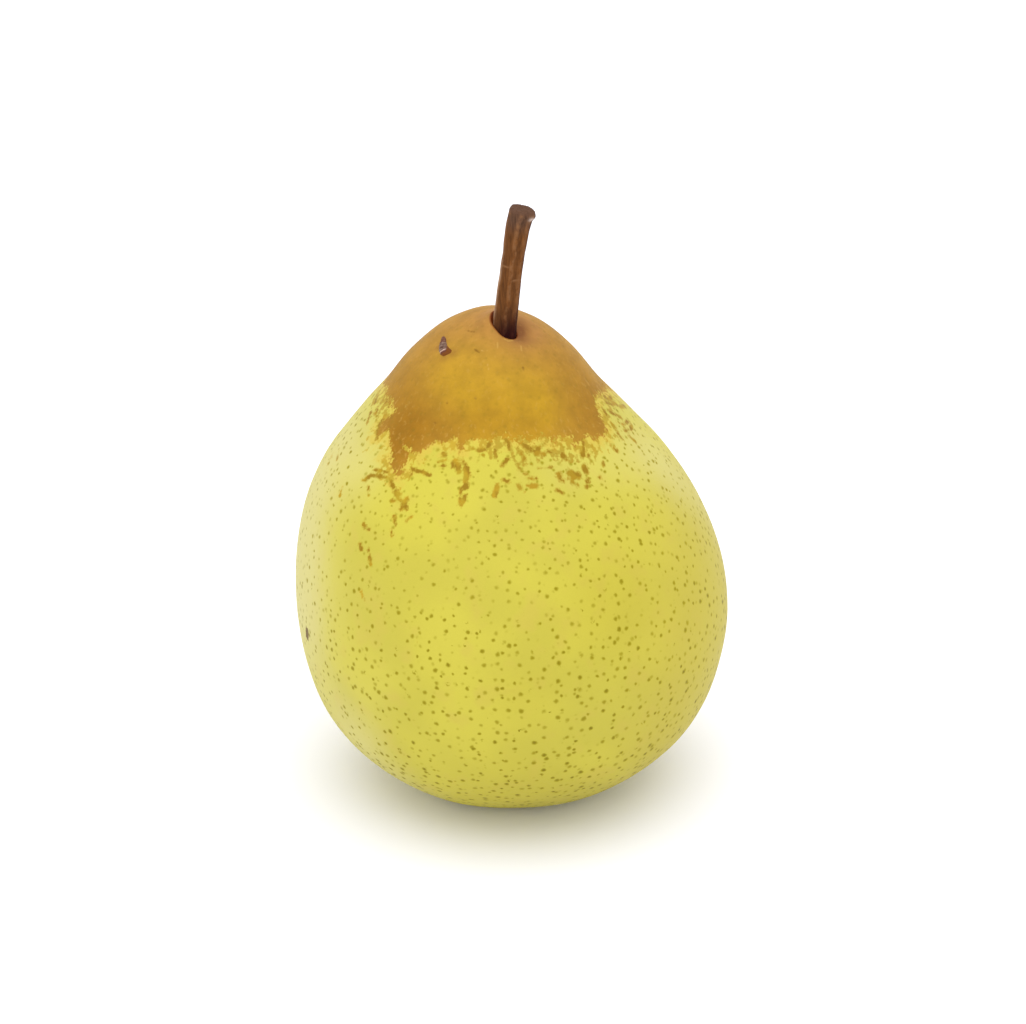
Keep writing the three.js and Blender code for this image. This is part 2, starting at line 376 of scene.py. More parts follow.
# %% Camera
CAMERA_RISE, CAMERA_AWAY = math.radians(24), 495.39
AIM = np.array([0.09, 0, 50.115])
PICTURE = np.array([1026, 1024])
LENS, SENSOR = 100, 36
TO_CAMERA = np.array([0, -math.cos(CAMERA_RISE), math.sin(CAMERA_RISE)])
CAMERA_UP = np.array([0, math.sin(CAMERA_RISE), math.cos(CAMERA_RISE)])
CAMERA_AT = AIM + CAMERA_AWAY * TO_CAMERA
FOCAL = PICTURE[0] * LENS / SENSOR

lens = bpy.data.cameras.new("camera")
lens.lens, lens.sensor_width = LENS, SENSOR
lens.clip_start, lens.clip_end = 0.01, 50
camera = bpy.data.objects.new("camera", lens)
camera.location = CAMERA_AT * MM
camera.rotation_euler = (math.pi / 2 - CAMERA_RISE, 0, 0)
bpy.context.scene.collection.objects.link(camera)
bpy.context.scene.camera = camera


def seen_at(points):
    """The pixel at which the camera sees a point: its offset to the right and up, times the
    focal length in pixels, over its depth."""
    offset = points - CAMERA_AT
    depth = -(offset @ TO_CAMERA)
    pixels = FOCAL * np.stack([offset[..., 0], -(offset @ CAMERA_UP)], -1) / depth[..., None]
    return PICTURE / 2 + pixels


# %% [markdown]
# A pixel is put on the skin by its ray. The nearest seen point of the mesh gives a plane that
# touches the skin, and the ray is cut by that plane. Close to the outline of the fruit, where
# rays only graze the skin, the mesh point itself is used.

# %% From pixels to the skin
skin_points = fruit_points + SHIFT
normals = np.empty(len(skin_points) * 3, dtype=np.float32)
fruit.data.vertices.foreach_get("normal", normals)
skin_normals = normals.reshape(-1, 3).astype(float)
facing_camera = (skin_normals * unit(CAMERA_AT - skin_points)).sum(-1)
seen = np.flatnonzero(facing_camera > 0.02)
seen_pixels = seen_at(skin_points[seen])
GRAZING = 0.25


def on_skin(pixels):
    """The points of the skin behind pixels of the picture."""
    pixels = np.asarray(pixels, dtype=float)
    gaps = ((seen_pixels[None] - pixels[:, None]) ** 2).sum(-1)
    nearest = seen[gaps.argmin(1)]
    touch, normal = skin_points[nearest], skin_normals[nearest]
    offset = (pixels - PICTURE / 2) / FOCAL
    right = np.array([1, 0, 0])
    ray = offset[:, :1] * right - offset[:, 1:] * CAMERA_UP - TO_CAMERA
    reach = ((touch - CAMERA_AT) * normal).sum(-1) / (ray * normal).sum(-1)
    cut = CAMERA_AT + reach[:, None] * ray
    return np.where((facing_camera[nearest] > GRAZING)[:, None], cut, touch)


print(len(seen), "points of the skin face the camera")

# %% [markdown]
# ## The russet cap
# The shoulders of a white pear are often russeted: cork replaces the glossy skin from the stalk
# down to a ragged border. The border's course is drawn as a line of points, on the front where
# they were seen and round the back as such borders go. What the finish needs is the distance
# from that line, positive inside the cap, for every point of the skin.

# %% The cap's border
BORDER_SEEN = (
    (384, 382), (387, 389), (389, 398), (394, 411), (384, 420), (376, 437), (388, 432), (391, 441),
    (390, 453), (392, 466), (395, 477), (399, 476), (404, 468), (409, 457), (406, 449), (411, 450),
    (418, 454), (424, 448), (433, 443), (445, 442), (457, 439), (458, 453), (463, 449), (466, 442),
    (475, 440), (488, 441), (494, 437), (505, 437), (513, 441), (531, 440), (540, 439), (544, 435),
    (548, 437), (551, 442), (556, 442), (559, 437), (568, 438), (574, 443), (582, 442), (587, 434),
    (595, 440), (600, 436), (608, 433), (603, 421), (597, 409), (595, 399), (602, 393), (608, 388),
)
BORDER_BACK_POINTS, BORDER_BACK_HEIGHT = 44, 66.5
LOW_HEIGHT = 30


def chart(points):
    """The angle round the fruit's leaning middle, in degrees, and the height."""
    offset = points[..., :2] - SHIFT[:2]
    offset = offset - LEAN * smoothstep(points[..., 2:], LEAN_FROM, LEAN_TO)
    return np.stack([np.degrees(np.arctan2(offset[..., 1], offset[..., 0])), points[..., 2]], -1)


skin_chart = chart(skin_points)


def on_chart(places):
    """The points of the skin nearest to places of the chart, with a degree counted as 0.6 mm."""
    gaps = (skin_chart[None] - places[:, None]) * np.array([0.6, 1])
    return skin_points[(gaps**2).sum(-1).argmin(1)]


front_line = on_skin(BORDER_SEEN)
front_places = chart(front_line)
start, end = front_places[-1], front_places[0]
random = np.random.default_rng(7)
share = np.linspace(0, 1, BORDER_BACK_POINTS + 2)[1:-1]
back_angles = start[0] + share * ((end[0] - start[0]) % 360) + random.uniform(-1.5, 1.5, len(share))
bow = np.sin(math.pi * share)
back_heights = start[1] + share * (end[1] - start[1]) + bow * (BORDER_BACK_HEIGHT - start[1])
drips = np.where(np.arange(len(share)) % 2, 1, -1) * random.uniform(0.3, 2.4, len(share))
drips = drips - 3.5 * (random.random(len(share)) < 0.16)
back_places = np.stack([(back_angles + 180) % 360 - 180, back_heights + drips], -1)
border = np.concatenate([front_line, on_chart(back_places)])
print("the border runs from", front_places[0].round(1), "over the front to", start.round(1))


# %% Distance from lines on the skin
def distance_to(line, points, closed=False):
    """The least distance of points from a line of straight stretches."""
    ends = np.roll(line, -1, axis=0)
    count = len(line) if closed else len(line) - 1
    least = np.full(len(points), np.inf)
    for a, b in zip(line[:count], ends[:count]):
        way = b - a
        share = np.clip(((points - a) @ way) / (way @ way), 0, 1)
        least = np.minimum(least, np.linalg.norm(points - a - share[:, None] * way, axis=-1))
    return least


def above_line(places, line):
    """Whether places of the chart lie above a closed line round the fruit: upwards from them,
    they cross it an even number of times."""
    crossings = np.zeros(len(places), dtype=int)
    for a, b in zip(line, np.roll(line, -1, axis=0)):
        width = (b[0] - a[0] + 180) % 360 - 180
        past = (places[:, 0] - a[0] + 180) % 360 - 180
        share = past / width if width else np.full(len(places), 2.0)
        within = (share >= 0) & (share < 1)
        crossings += within & (a[1] + share * (b[1] - a[1]) > places[:, 1])
    return crossings % 2 == 0


upper = np.flatnonzero(skin_points[:, 2] > LOW_HEIGHT)
cap = np.full(len(skin_points), -50.0)
inside = above_line(skin_chart[upper], chart(border))
cap[upper] = distance_to(border, skin_points[upper], closed=True) * np.where(inside, 1, -1)
print("the cap covers", round(100 * inside.mean()), "% of the upper points")

# %% [markdown]
# Below the border, loose streaks of russet follow the paths that the cork took: a hook, chains
# of patches and short dashes. Each is a line with a half width in millimetres, and joins the cap
# in the same field of distances.

# %% Loose streaks below the cap
STREAKS = (
    (0.30, ((452, 467), (454, 461), (458, 459), (463, 460), (465, 466))),
    (0.52, ((466, 468), (467, 474), (465, 480), (465, 488))),
    (0.40, ((465, 495), (464, 500), (461, 505))),
    (0.22, ((461, 489), (460, 505))),
    (0.46, ((457, 464), (459, 472))),
    (0.30, ((374, 470), (381, 470.5), (389, 472.5))),
    (0.42, ((363.5, 480), (371, 475.5), (380, 476), (387, 477.5), (391, 481), (394, 487))),
    (0.46, ((396, 492), (399, 495))),
    (0.20, ((391, 501), (395, 501))),
    (0.30, ((398, 498), (403, 503), (407, 499))),
    (0.26, ((404, 503), (401, 509))),
    (0.26, ((406, 502), (407, 510))),
    (0.32, ((407, 520), (411, 517))),
    (0.32, ((394, 517), (395, 525))),
    (0.26, ((368, 487), (368.5, 495))),
    (0.30, ((411, 467), (417, 471), (423, 472), (430, 475))),
    (0.28, ((400, 472), (402, 473))),
    (0.22, ((411, 475), (408, 480))),
    (0.26, ((444, 453), (447, 459))),
    (0.28, ((438, 462), (447, 460))),
    (0.26, ((440, 466), (447, 465))),
    (0.36, ((470, 447), (479, 451), (486, 449), (489, 443))),
    (0.24, ((495, 451), (495, 458))),
    (0.36, ((505, 438), (508, 443), (511, 450))),
    (0.28, ((507, 459), (502, 466))),
    (0.38, ((497, 485), (495, 495))),
    (0.32, ((523, 444), (530, 449))),
    (0.46, ((530, 449), (536, 453), (539, 448))),
    (0.28, ((539, 448), (545, 443))),
    (0.32, ((544, 455), (548, 451), (557, 454))),
    (0.30, ((517, 449), (523, 455), (524, 461))),
    (0.24, ((518, 464), (520, 471), (527, 474))),
    (0.34, ((562, 454), (566, 460), (572, 460))),
    (0.42, ((582, 436), (583, 446), (582, 456))),
    (0.55, ((584, 466), (587, 473))),
    (0.46, ((588, 479), (587, 486))),
    (0.66, ((570, 473), (573, 477), (579, 476))),
    (0.36, ((573, 482), (577, 485))),
    (0.52, ((559, 474), (562, 480))),
    (0.30, ((557, 490), (562, 492))),
    (0.14, ((540, 468), (552, 467))),
    (0.28, ((504, 480), (508, 482))),
    (0.42, ((519, 486), (520, 488))),
    (0.32, ((528, 486), (537, 486))),
    (0.18, ((528, 479), (536, 478))),
    (0.18, ((589, 455), (591, 463))),
    (0.29, ((603, 463), (603, 466))),
    (0.38, ((600, 477), (600, 478))),
    (0.29, ((611, 446), (617, 451))),
    (0.29, ((617, 433), (623, 439))),
    (0.40, ((612, 424), (615, 428))),
    (0.33, ((623, 425), (629, 421), (632, 425), (630, 430), (625, 431))),
    (0.43, ((603, 409), (606, 414))),
    (0.42, ((606, 402), (612, 405), (615, 403), (620, 407), (624, 406))),
    (0.38, ((604, 396), (608, 400), (612, 397))),
    (0.40, ((610, 412), (615, 414), (621, 418))),
    (0.29, ((630, 437), (636, 442))),
    (0.42, ((360, 544), (361, 549))),
    (0.30, ((368, 550), (371, 564))),
    (0.26, ((361, 590), (364, 599))),
    (0.34, ((363, 525), (368, 529))),
    (0.18, ((332, 455), (328, 464))),
    (0.16, ((339, 449), (337, 460))),
    (0.22, ((342, 488), (340, 495))),
    (0.22, ((391, 530), (392, 535))),
    (0.35, ((392, 389), (386, 402))),
    (0.30, ((390, 402), (386, 412))),
    (0.34, ((392, 413), (388, 424))),
    (0.35, ((387, 391), (381, 404))),
    (0.37, ((380, 391), (375, 403))),
    (0.35, ((376, 395), (372, 405))),
    (0.33, ((379, 405), (375, 416))),
    (0.33, ((371, 412), (367, 423))),
    (0.31, ((361, 404), (362, 401))),
    (0.41, ((386, 414), (379, 425), (377, 438))),
)
STROKE_REACH = 12


def strokes(drawn):
    """The field of several lines: half width less distance, and the greatest of all of them."""
    field = np.full(len(skin_points), -50.0)
    for half_width, pixels in drawn:
        line = on_skin(pixels)
        near = np.flatnonzero(np.linalg.norm(skin_points - line.mean(0), axis=-1) < STROKE_REACH)
        field[near] = np.maximum(field[near], half_width - distance_to(line, skin_points[near]))
    return field


note(fruit, "cap", cap)
note(fruit, "streaks", strokes(STREAKS))
print(len(STREAKS), "streaks lie below the cap")

# %% [markdown]
# The cork itself has been brushed by twigs and leaves. A few pale scratches and dark nicks show
# on it, and a pale edge where the lip meets the stalk.

# %% Scratches and nicks in the cork
SCRATCHES = (
    (0.10, ((481, 350.5), (487, 351), (493, 353.5))),
    (0.10, ((497.5, 343), (497.6, 347.5))),
    (0.10, ((521, 346), (521.5, 350.5))),
    (0.13, ((504.5, 339), (508, 340.8), (512.5, 340.3))),
    (0.08, ((487, 362), (489, 371))),
    (0.08, ((494, 360), (493, 368))),
)
NICKS = (
    (0.15, ((474.5, 349.8), (479.5, 351.8))),
    (0.08, ((466.5, 330), (470, 331.5), (474.5, 331.8))),
    (0.13, ((523, 367.5), (523.4, 369.5))),
    (0.15, ((447, 401.5), (447.3, 402.8))),
    (0.16, ((475, 397), (476, 398))),
    (0.13, ((434.6, 423), (435.6, 424.3))),
)
note(fruit, "scratches", strokes(SCRATCHES))
note(fruit, "nicks", strokes(NICKS))


# %% [markdown]
# ## Where the colours change
# The cap isn't one brown: it is golden in the middle of the front, browner along its border and
# pinkish round the stalk, with painted shade laid in the pink and a darker painted shadow beside
# the stalk's foot. The pores are small and faint under the cap and large and dark towards the
# bottom and the right side. Each of these is a soft spot or a slow change over the skin.

# %% Soft spots of tone
def spots(*placed):
    """The sum of bells round the skin points behind pixels, each given as x, y, width in
    millimetres and strength."""
    total = np.zeros(len(skin_points))
    for x, y, width, strength in placed:
        gap = np.linalg.norm(skin_points - on_skin([(x, y)])[0], axis=-1)
        total += strength * np.exp(-((gap / width) ** 2))
    return total


gold = spots((457, 372, 7, 0.7), (503, 385, 8, 0.8), (535, 410, 6, 0.7), (468, 345, 5, 0.3),
             (480, 430, 5, 0.7), (520, 435, 5, 0.5))
umber = spots((408, 424, 5, 0.9), (396, 450, 4, 0.7), (590, 422, 5, 0.5), (598, 400, 4, 0.4),
              (440, 432, 4, 0.4), (530, 432, 4, 0.35), (470, 428, 4, 0.25), (492, 420, 4, 0.25),
              (400, 390, 5, 0.4), (575, 375, 6, 0.3))
flecked = spots((386, 402, 5, 1), (613, 412, 6, 1), (582, 455, 6, 0.6), (512, 450, 9, 0.7),
                (400, 462, 5, 0.6), (530, 470, 8, 0.4), (575, 480, 4, 0.5))
back = smoothstep(skin_points[:, 1], 0, 12)
tone = soft_noise(skin_points, 11.0, 31)
note(fruit, "gold", np.clip(gold + back * (0.4 + 0.8 * tone), 0, 1))
note(fruit, "umber", np.clip(umber + back * (0.35 - 0.9 * tone), 0, 1))
note(fruit, "flecked", np.clip(flecked + back * (0.4 + tone), 0, 1))

away, angle, outside, creased = beside_stalk(fruit_points)
# A pinkish tone round the stalk, and painted shade in pinkish brown to the right of its foot.
blush_and_shade = spots((524, 327, 4, 0.9), (500, 318, 5, 0.4), (560, 335, 8, 0.3), (450, 325, 8, 0.4))
note(fruit, "blush_and_shade", np.clip(blush_and_shade + 0.5 * np.exp(-((away / 7) ** 2)), 0, 1))
# Painted shadow to the right of the stalk's foot, and a brown bruise round the scab.
shadow_and_bruise = spots((519, 331, 1.5, 0.85), (520, 339, 1.5, 0.55), (521, 323, 2.0, 0.55), (438, 347, 0.8, 0.45),
               (444, 357.5, 0.7, 0.35), (453, 353, 0.8, 0.4))
note(fruit, "shadow_and_bruise", np.clip(shadow_and_bruise, 0, 1))
note(fruit, "socket", np.where(fruit_points[:, 2] > CENTRE_HEIGHT, outside - 0.5 * creased, 50))

# %% Strength of the pores, the scar and the eye's basin
height, side = skin_points[:, 2], skin_points[:, 0] / 38
pores = 0.6 + 0.22 * smoothstep(-height, -60, -30) + 0.12 * smoothstep(-height, -30, -4)
pores = pores + 0.1 * side + spots((362, 442, 8, 0.25))
note(fruit, "pores", np.clip(pores + 0.1 * tone, 0.2, 1.15))
note(fruit, "shoulder", smoothstep(height, 48, 62))
note_way(fruit, "outward", skin_normals)

# Light and shade are painted into the skin's colour: a painted creamy sheen on its left side and
# round its shoulders, with painted light that lifts the shade at the lower left, painted shade in
# khaki towards the right and duller painted shade underneath.
LIT_SIDE, SHADE_SIDE = unit(np.array([-0.95, -0.25, 0.15])), unit(np.array([0.97, -0.25, -0.1]))
facing_left = np.clip(skin_normals @ LIT_SIDE, 0, 1)
# Painted sheen and light: creamy where the skin faces left, and spots that lift the shade.
painted_light = facing_left**20 + 0.12 * smoothstep(facing_left, 0.6, 0.78) + 0.05 * tone
painted_light = painted_light + spots((345, 436, 8, 0.42), (322, 474, 8, 0.3), (362, 468, 7, 0.35), (562, 466, 7, 0.28),
                      (350, 726, 9, 0.35), (374, 758, 9, 0.25), (412, 790, 8, 0.35),
                      (640, 448, 9, 0.42), (672, 474, 8, 0.36), (702, 504, 8, 0.3), (608, 464, 6, 0.2))
note(fruit, "painted_light", painted_light)
# Painted shade where the skin faces right; the pores there take their own colours too.
note(fruit, "right_shade", smoothstep(skin_normals @ SHADE_SIDE, 0.5, 1) + 0.1 * tone)
# Painted shade: duller towards the bottom and the right, with two darker painted spots.
lower_shade = smoothstep(-height, -34, 2) * smoothstep(side, -0.85, 0.05)
lower_shade = lower_shade * (1 - 0.9 * smoothstep(-height, -12, -2))
lower_shade = lower_shade + spots((520, 700, 8, 0.4), (614, 600, 11, 0.7))
note(fruit, "low", np.clip(lower_shade, 0, 1))

SCAR = ((307, 631), (307.5, 635.5))
note(fruit, "scar", 0.85 - distance_to(on_skin(SCAR), skin_points))
basin = np.hypot(fruit_points[:, 0], fruit_points[:, 1])
note(fruit, "basin", np.where(fruit_points[:, 2] < 9, basin, 50))
print("pore strength runs from", pores.min().round(2), "to", pores.max().round(2))

# %% [markdown]
# ## Small tools for finishes
# A finish is a graph of shader nodes. These helpers add a node with its inputs in one line, so
# that a finish can be read as a sum. Colours are written as they should look under the studio's
# light: the white that gloss adds is taken off them, and the light's strength divided out.

# %% Node helpers
LIGHT, GLOSS = 1.36, 0.02
LEAST_SHARE = 0.002


def seen_colour(red, green, blue, gloss=GLOSS):
    """A colour in the numbers of a picture, 0 to 255, as the share of light that the surface
    has to throw back: undo the picture's gamma, take off the gloss, divide by the light."""
    share = np.array([red, green, blue]) / 255
    linear = np.where(share <= 0.04045, share / 12.92, ((share + 0.055) / 1.055) ** 2.4)
    return (*np.maximum((linear - gloss) / LIGHT, LEAST_SHARE), 1)


def add(tree, kind, inputs=None, **settings):
    """A node with its settings, and its inputs as numbers, colours or other nodes' outputs."""
    node = tree.nodes.new(kind)
    for name, value in settings.items():
        setattr(node, name, value)
    for key, value in (inputs or {}).items():
        if isinstance(value, bpy.types.NodeSocket):
            tree.links.new(value, node.inputs[key])
        else:
            node.inputs[key].default_value = value
    return node


def calc(tree, operation, first, second=0.0, third=0.0):
    inputs = {0: first, 1: second, 2: third}
    return add(tree, "ShaderNodeMath", inputs, operation=operation).outputs[0]


def vector_calc(tree, operation, first, second=(0, 0, 0), third=(0, 0, 0)):
    inputs = {0: first, 1: second, 2: third}
    node = add(tree, "ShaderNodeVectorMath", inputs, operation=operation)
    return node.outputs["Value" if operation == "DOT_PRODUCT" else "Vector"]


def fade(tree, value, low, high, start=0.0, end=1.0):
    """From start at low to end at high along a smooth step."""
    inputs = {"Value": value, "From Min": low, "From Max": high, "To Min": start, "To Max": end}
    return add(tree, "ShaderNodeMapRange", inputs, interpolation_type="SMOOTHSTEP").outputs[0]


def blend_colour(tree, share, first, second, blend_type="MIX"):
    inputs = {0: share, 6: first, 7: second}
    return add(tree, "ShaderNodeMix", inputs, data_type="RGBA", blend_type=blend_type).outputs[2]


def read(tree, name):
    return add(tree, "ShaderNodeAttribute", attribute_name=name).outputs["Fac"]


def noise(tree, place, size, detail=2.0, roughness=0.5):
    """Noise from 0 to 1 whose lumps are about size millimetres wide."""
    inputs = {"Vector": place, "Scale": 1 / (size * MM), "Detail": detail, "Roughness": roughness}
    return add(tree, "ShaderNodeTexNoise", inputs).outputs["Fac"]


def stretched(tree, place, x, y, z):
    return vector_calc(tree, "MULTIPLY", place, (x, y, z))


def new_finish(name):
    """A material with an empty graph that has its output, its shader and the place input."""
    material = bpy.data.materials.new(name)
    material.use_nodes = True
    tree = material.node_tree
    tree.nodes.clear()
    shader = add(tree, "ShaderNodeBsdfPrincipled")
    add(tree, "ShaderNodeOutputMaterial", {"Surface": shader.outputs[0]})
    place = add(tree, "ShaderNodeTexCoord").outputs["Object"]
    return material, tree, shader, place


# %% [markdown]
# ## The skin's finish
# Pores come from a Voronoi pattern: space is divided among scattered points, and each place
# knows the points nearest to it. A point close to the skin makes a pore where it would land on
# the skin, so every dot is whole, whether its point lies a little above or below. The second
# nearest point is asked too, because the foot of a point may lie in its neighbour's cell. A
# random radius and strength make the pores differ, and noise bends the space a little, so that
# they aren't perfectly round.

# %% Pores
PORE_STEP, FAINT_STEP, SMUDGE_STEP = 2.0, 2.45, 4.6
PORE_SCATTER = 0.82
PORE_REACH = 0.44


def pore_of(tree, place, feature, step, least, most, size):
    """The dot of the nearest point (F1) or of the second (F2): 1 in the middle of a pore and 0
    outside it, times its own strength. The offset from the point has a part along the skin's
    outward way, and what is left is beside it: gap squared = offset squared - depth squared."""
    inputs = {"Vector": place, "Scale": 1 / (step * MM), "Randomness": PORE_SCATTER}
    cells = add(tree, "ShaderNodeTexVoronoi", inputs, feature=feature)
    chance = add(tree, "ShaderNodeSeparateColor", {0: cells.outputs["Color"]}).outputs
    outward = add(tree, "ShaderNodeAttribute", attribute_name="outward").outputs["Vector"]
    offset = vector_calc(tree, "SUBTRACT", place, cells.outputs["Position"])
    depth = vector_calc(tree, "DOT_PRODUCT", offset, outward)
    squares = vector_calc(tree, "DOT_PRODUCT", offset, offset)
    gap = calc(tree, "SUBTRACT", squares, calc(tree, "MULTIPLY", depth, depth))
    gap = calc(tree, "DIVIDE", calc(tree, "SQRT", calc(tree, "MAXIMUM", gap, 0)), MM)
    radius = calc(tree, "MULTIPLY_ADD", chance[0], most - least, least)
    radius = calc(tree, "MULTIPLY", radius, size)
    dot = fade(tree, gap, radius, calc(tree, "MULTIPLY", radius, 0.1))
    near = calc(tree, "LESS_THAN", calc(tree, "ABSOLUTE", depth), PORE_REACH * step * MM)
    strength = calc(tree, "MULTIPLY_ADD", chance[1], 0.55, 0.45)
    return calc(tree, "MULTIPLY", calc(tree, "MULTIPLY", dot, near), strength)


def pore_layer(tree, place, step, least, most, size):
    nearest = pore_of(tree, place, "F1", step, least, most, size)
    return calc(tree, "MAXIMUM", nearest, pore_of(tree, place, "F2", step, least, most, size))


def bent(tree, place, size, amount):
    """The place moved by up to about amount millimetres by noise of a size."""
    wobble = add(tree, "ShaderNodeTexNoise", {"Vector": place, "Scale": 1 / (size * MM)}).outputs[1]
    centred = vector_calc(tree, "SUBTRACT", wobble, (0.5, 0.5, 0.5))
    return vector_calc(tree, "MULTIPLY_ADD", centred, (amount * MM * 2,) * 3, place)


# %% [markdown]
# The cap's border gets its ragged edge here: noise is added to the distance field before it is
# cut, and flecks of russet break out of the skin near it, fewer with the distance.

# %% The russet mask
def russet_mask(tree, place):
    """How much of the skin is cork: the cap and streaks with a ragged edge, and loose flecks."""
    cap, streaks = read(tree, "cap"), read(tree, "streaks")
    coarse = calc(tree, "SUBTRACT", noise(tree, place, 1.5, 3, 0.6), 0.5)
    fine = calc(tree, "SUBTRACT", noise(tree, stretched(tree, place, 1, 1, 0.45), 0.45, 2, 0.6), 0.5)
    fuzz = calc(tree, "MULTIPLY_ADD", read(tree, "flecked"), 4.2, 0.9)
    ragged = calc(tree, "MULTIPLY_ADD", coarse, 2.6, calc(tree, "MULTIPLY", fine, fuzz))
    edge = fade(tree, calc(tree, "ADD", cap, ragged), -0.25, 0.35)
    frayed = calc(tree, "MULTIPLY_ADD", coarse, 1.3, calc(tree, "MULTIPLY", fine, 0.9))
    loose = fade(tree, calc(tree, "ADD", streaks, frayed), -0.32, 0.26)
    chance = noise(tree, stretched(tree, place, 1, 1, 0.7), 1.1, 3, 0.55)
    limit = fade(tree, cap, -6.5, 0.2, 0.74, 0.53)
    limit = calc(tree, "MULTIPLY_ADD", read(tree, "flecked"), -0.12, limit)
    flecks = fade(tree, calc(tree, "SUBTRACT", chance, limit), 0.0, 0.1, 0, 0.75)
    halo = calc(tree, "ADD", read(tree, "cap"), calc(tree, "MULTIPLY", coarse, 7))
    return edge, calc(tree, "MAXIMUM", loose, flecks), loose, fade(tree, halo, -3, 0, 0, 0.8)


# %% The skin's colour
YELLOW, GREENISH, WARM = (219, 208, 84), (211, 200, 82), (217, 196, 90)
LIT_CREAM, SHADE_KHAKI, SHADE_DULL = (228, 218, 138), (211, 194, 82), (200, 184, 66)
PORE, DEEP_PORE = (168, 154, 26), (132, 118, 4)
SIDE_PORE, SIDE_DEEP = (180, 165, 40), (142, 127, 6)
GOLD, BROWN, UMBER, PINKISH = (201, 158, 50), (186, 141, 57), (170, 122, 43), (192, 139, 76)
SMEAR, STREAK, OLIVE, HALO = (206, 168, 52), (165, 130, 24), (196, 168, 54), (224, 196, 84)
SCRATCH, NICK, SHADOW_AND_BRUISE = (222, 176, 92), (138, 100, 30), (146, 96, 58)


def darkened(tree, colour, factor):
    node = add(tree, "ShaderNodeVectorMath", {0: colour, "Scale": factor}, operation="SCALE")
    return node.outputs[0]


def skin_colour(tree, place, pores):
    """Yellow skin with pores, under the cork of the cap and of the streaks."""
    broad = noise(tree, place, 14, 1)
    ground = blend_colour(tree, fade(tree, broad, 0.35, 0.65), seen_colour(*YELLOW), seen_colour(*GREENISH))
    patchy = fade(tree, noise(tree, place, 4.5, 2), 0.5, 0.75, 0, 0.5)
    ground = blend_colour(tree, patchy, ground, seen_colour(*WARM))
    # Painted shade low down and on the right, and a painted creamy sheen and light on the left.
    for name, colour, most in (("low", SHADE_DULL, 0.5), ("right_shade", SHADE_KHAKI, 0.7), ("painted_light", LIT_CREAM, 0.94)):
        share = fade(tree, read(tree, name), 0, 1, 0, most)
        ground = blend_colour(tree, share, ground, seen_colour(*colour))
    # The painted shade on the right also sets the pores' colours there.
    aside = read(tree, "right_shade")
    pore = blend_colour(tree, aside, seen_colour(*PORE), seen_colour(*SIDE_PORE))
    deep_pore = blend_colour(tree, aside, seen_colour(*DEEP_PORE), seen_colour(*SIDE_DEEP))
    ground = blend_colour(tree, fade(tree, pores, 0, 0.62), ground, pore)
    ground = blend_colour(tree, fade(tree, pores, 0.5, 1), ground, deep_pore)
    cork = blend_colour(tree, read(tree, "gold"), seen_colour(*BROWN), seen_colour(*GOLD))
    cork = blend_colour(tree, read(tree, "umber"), cork, seen_colour(*UMBER))
    cork = blend_colour(tree, read(tree, "blush_and_shade"), cork, seen_colour(*PINKISH))
    cork = blend_colour(tree, calc(tree, "MULTIPLY", pores, 0.35), cork, seen_colour(*DEEP_PORE))
    cork = darkened(tree, cork, fade(tree, noise(tree, place, 3.0, 4, 0.6), 0.3, 0.7, 0.9, 1.08))
    # Painted shadow beside the stalk's foot, and the bruise round the scab.
    cork = blend_colour(tree, read(tree, "shadow_and_bruise"), cork, seen_colour(*SHADOW_AND_BRUISE))
    dashes = fade(tree, noise(tree, stretched(tree, place, 1, 1, 0.35), 0.7, 2), 0.56, 0.75)
    dashes = calc(tree, "MULTIPLY", dashes, fade(tree, read(tree, "cap"), 0.2, 5, 0.4, 0.15))
    scratches = calc(tree, "MAXIMUM", dashes, fade(tree, read(tree, "scratches"), -0.16, 0.1, 0, 0.55))
    cork = blend_colour(tree, scratches, cork, seen_colour(*SCRATCH))
    nicks = fade(tree, read(tree, "nicks"), -0.22, 0.12, 0, 0.8)
    cork = blend_colour(tree, nicks, cork, seen_colour(*NICK))
    cap, marked, loose, halo = russet_mask(tree, place)
    ground = blend_colour(tree, halo, ground, seen_colour(*HALO))
    marks = blend_colour(tree, fade(tree, noise(tree, place, 1.6), 0.4, 0.6), seen_colour(*SMEAR), seen_colour(*OLIVE))
    deep = calc(tree, "MULTIPLY", loose, fade(tree, noise(tree, place, 2.2, 1), 0.36, 0.6, 0.15, 1))
    deep = calc(tree, "MAXIMUM", deep, calc(tree, "MULTIPLY", read(tree, "flecked"), 0.6))
    marks = blend_colour(tree, deep, marks, seen_colour(*STREAK))
    ground = blend_colour(tree, marked, ground, marks)
    return blend_colour(tree, cap, ground, cork), cap


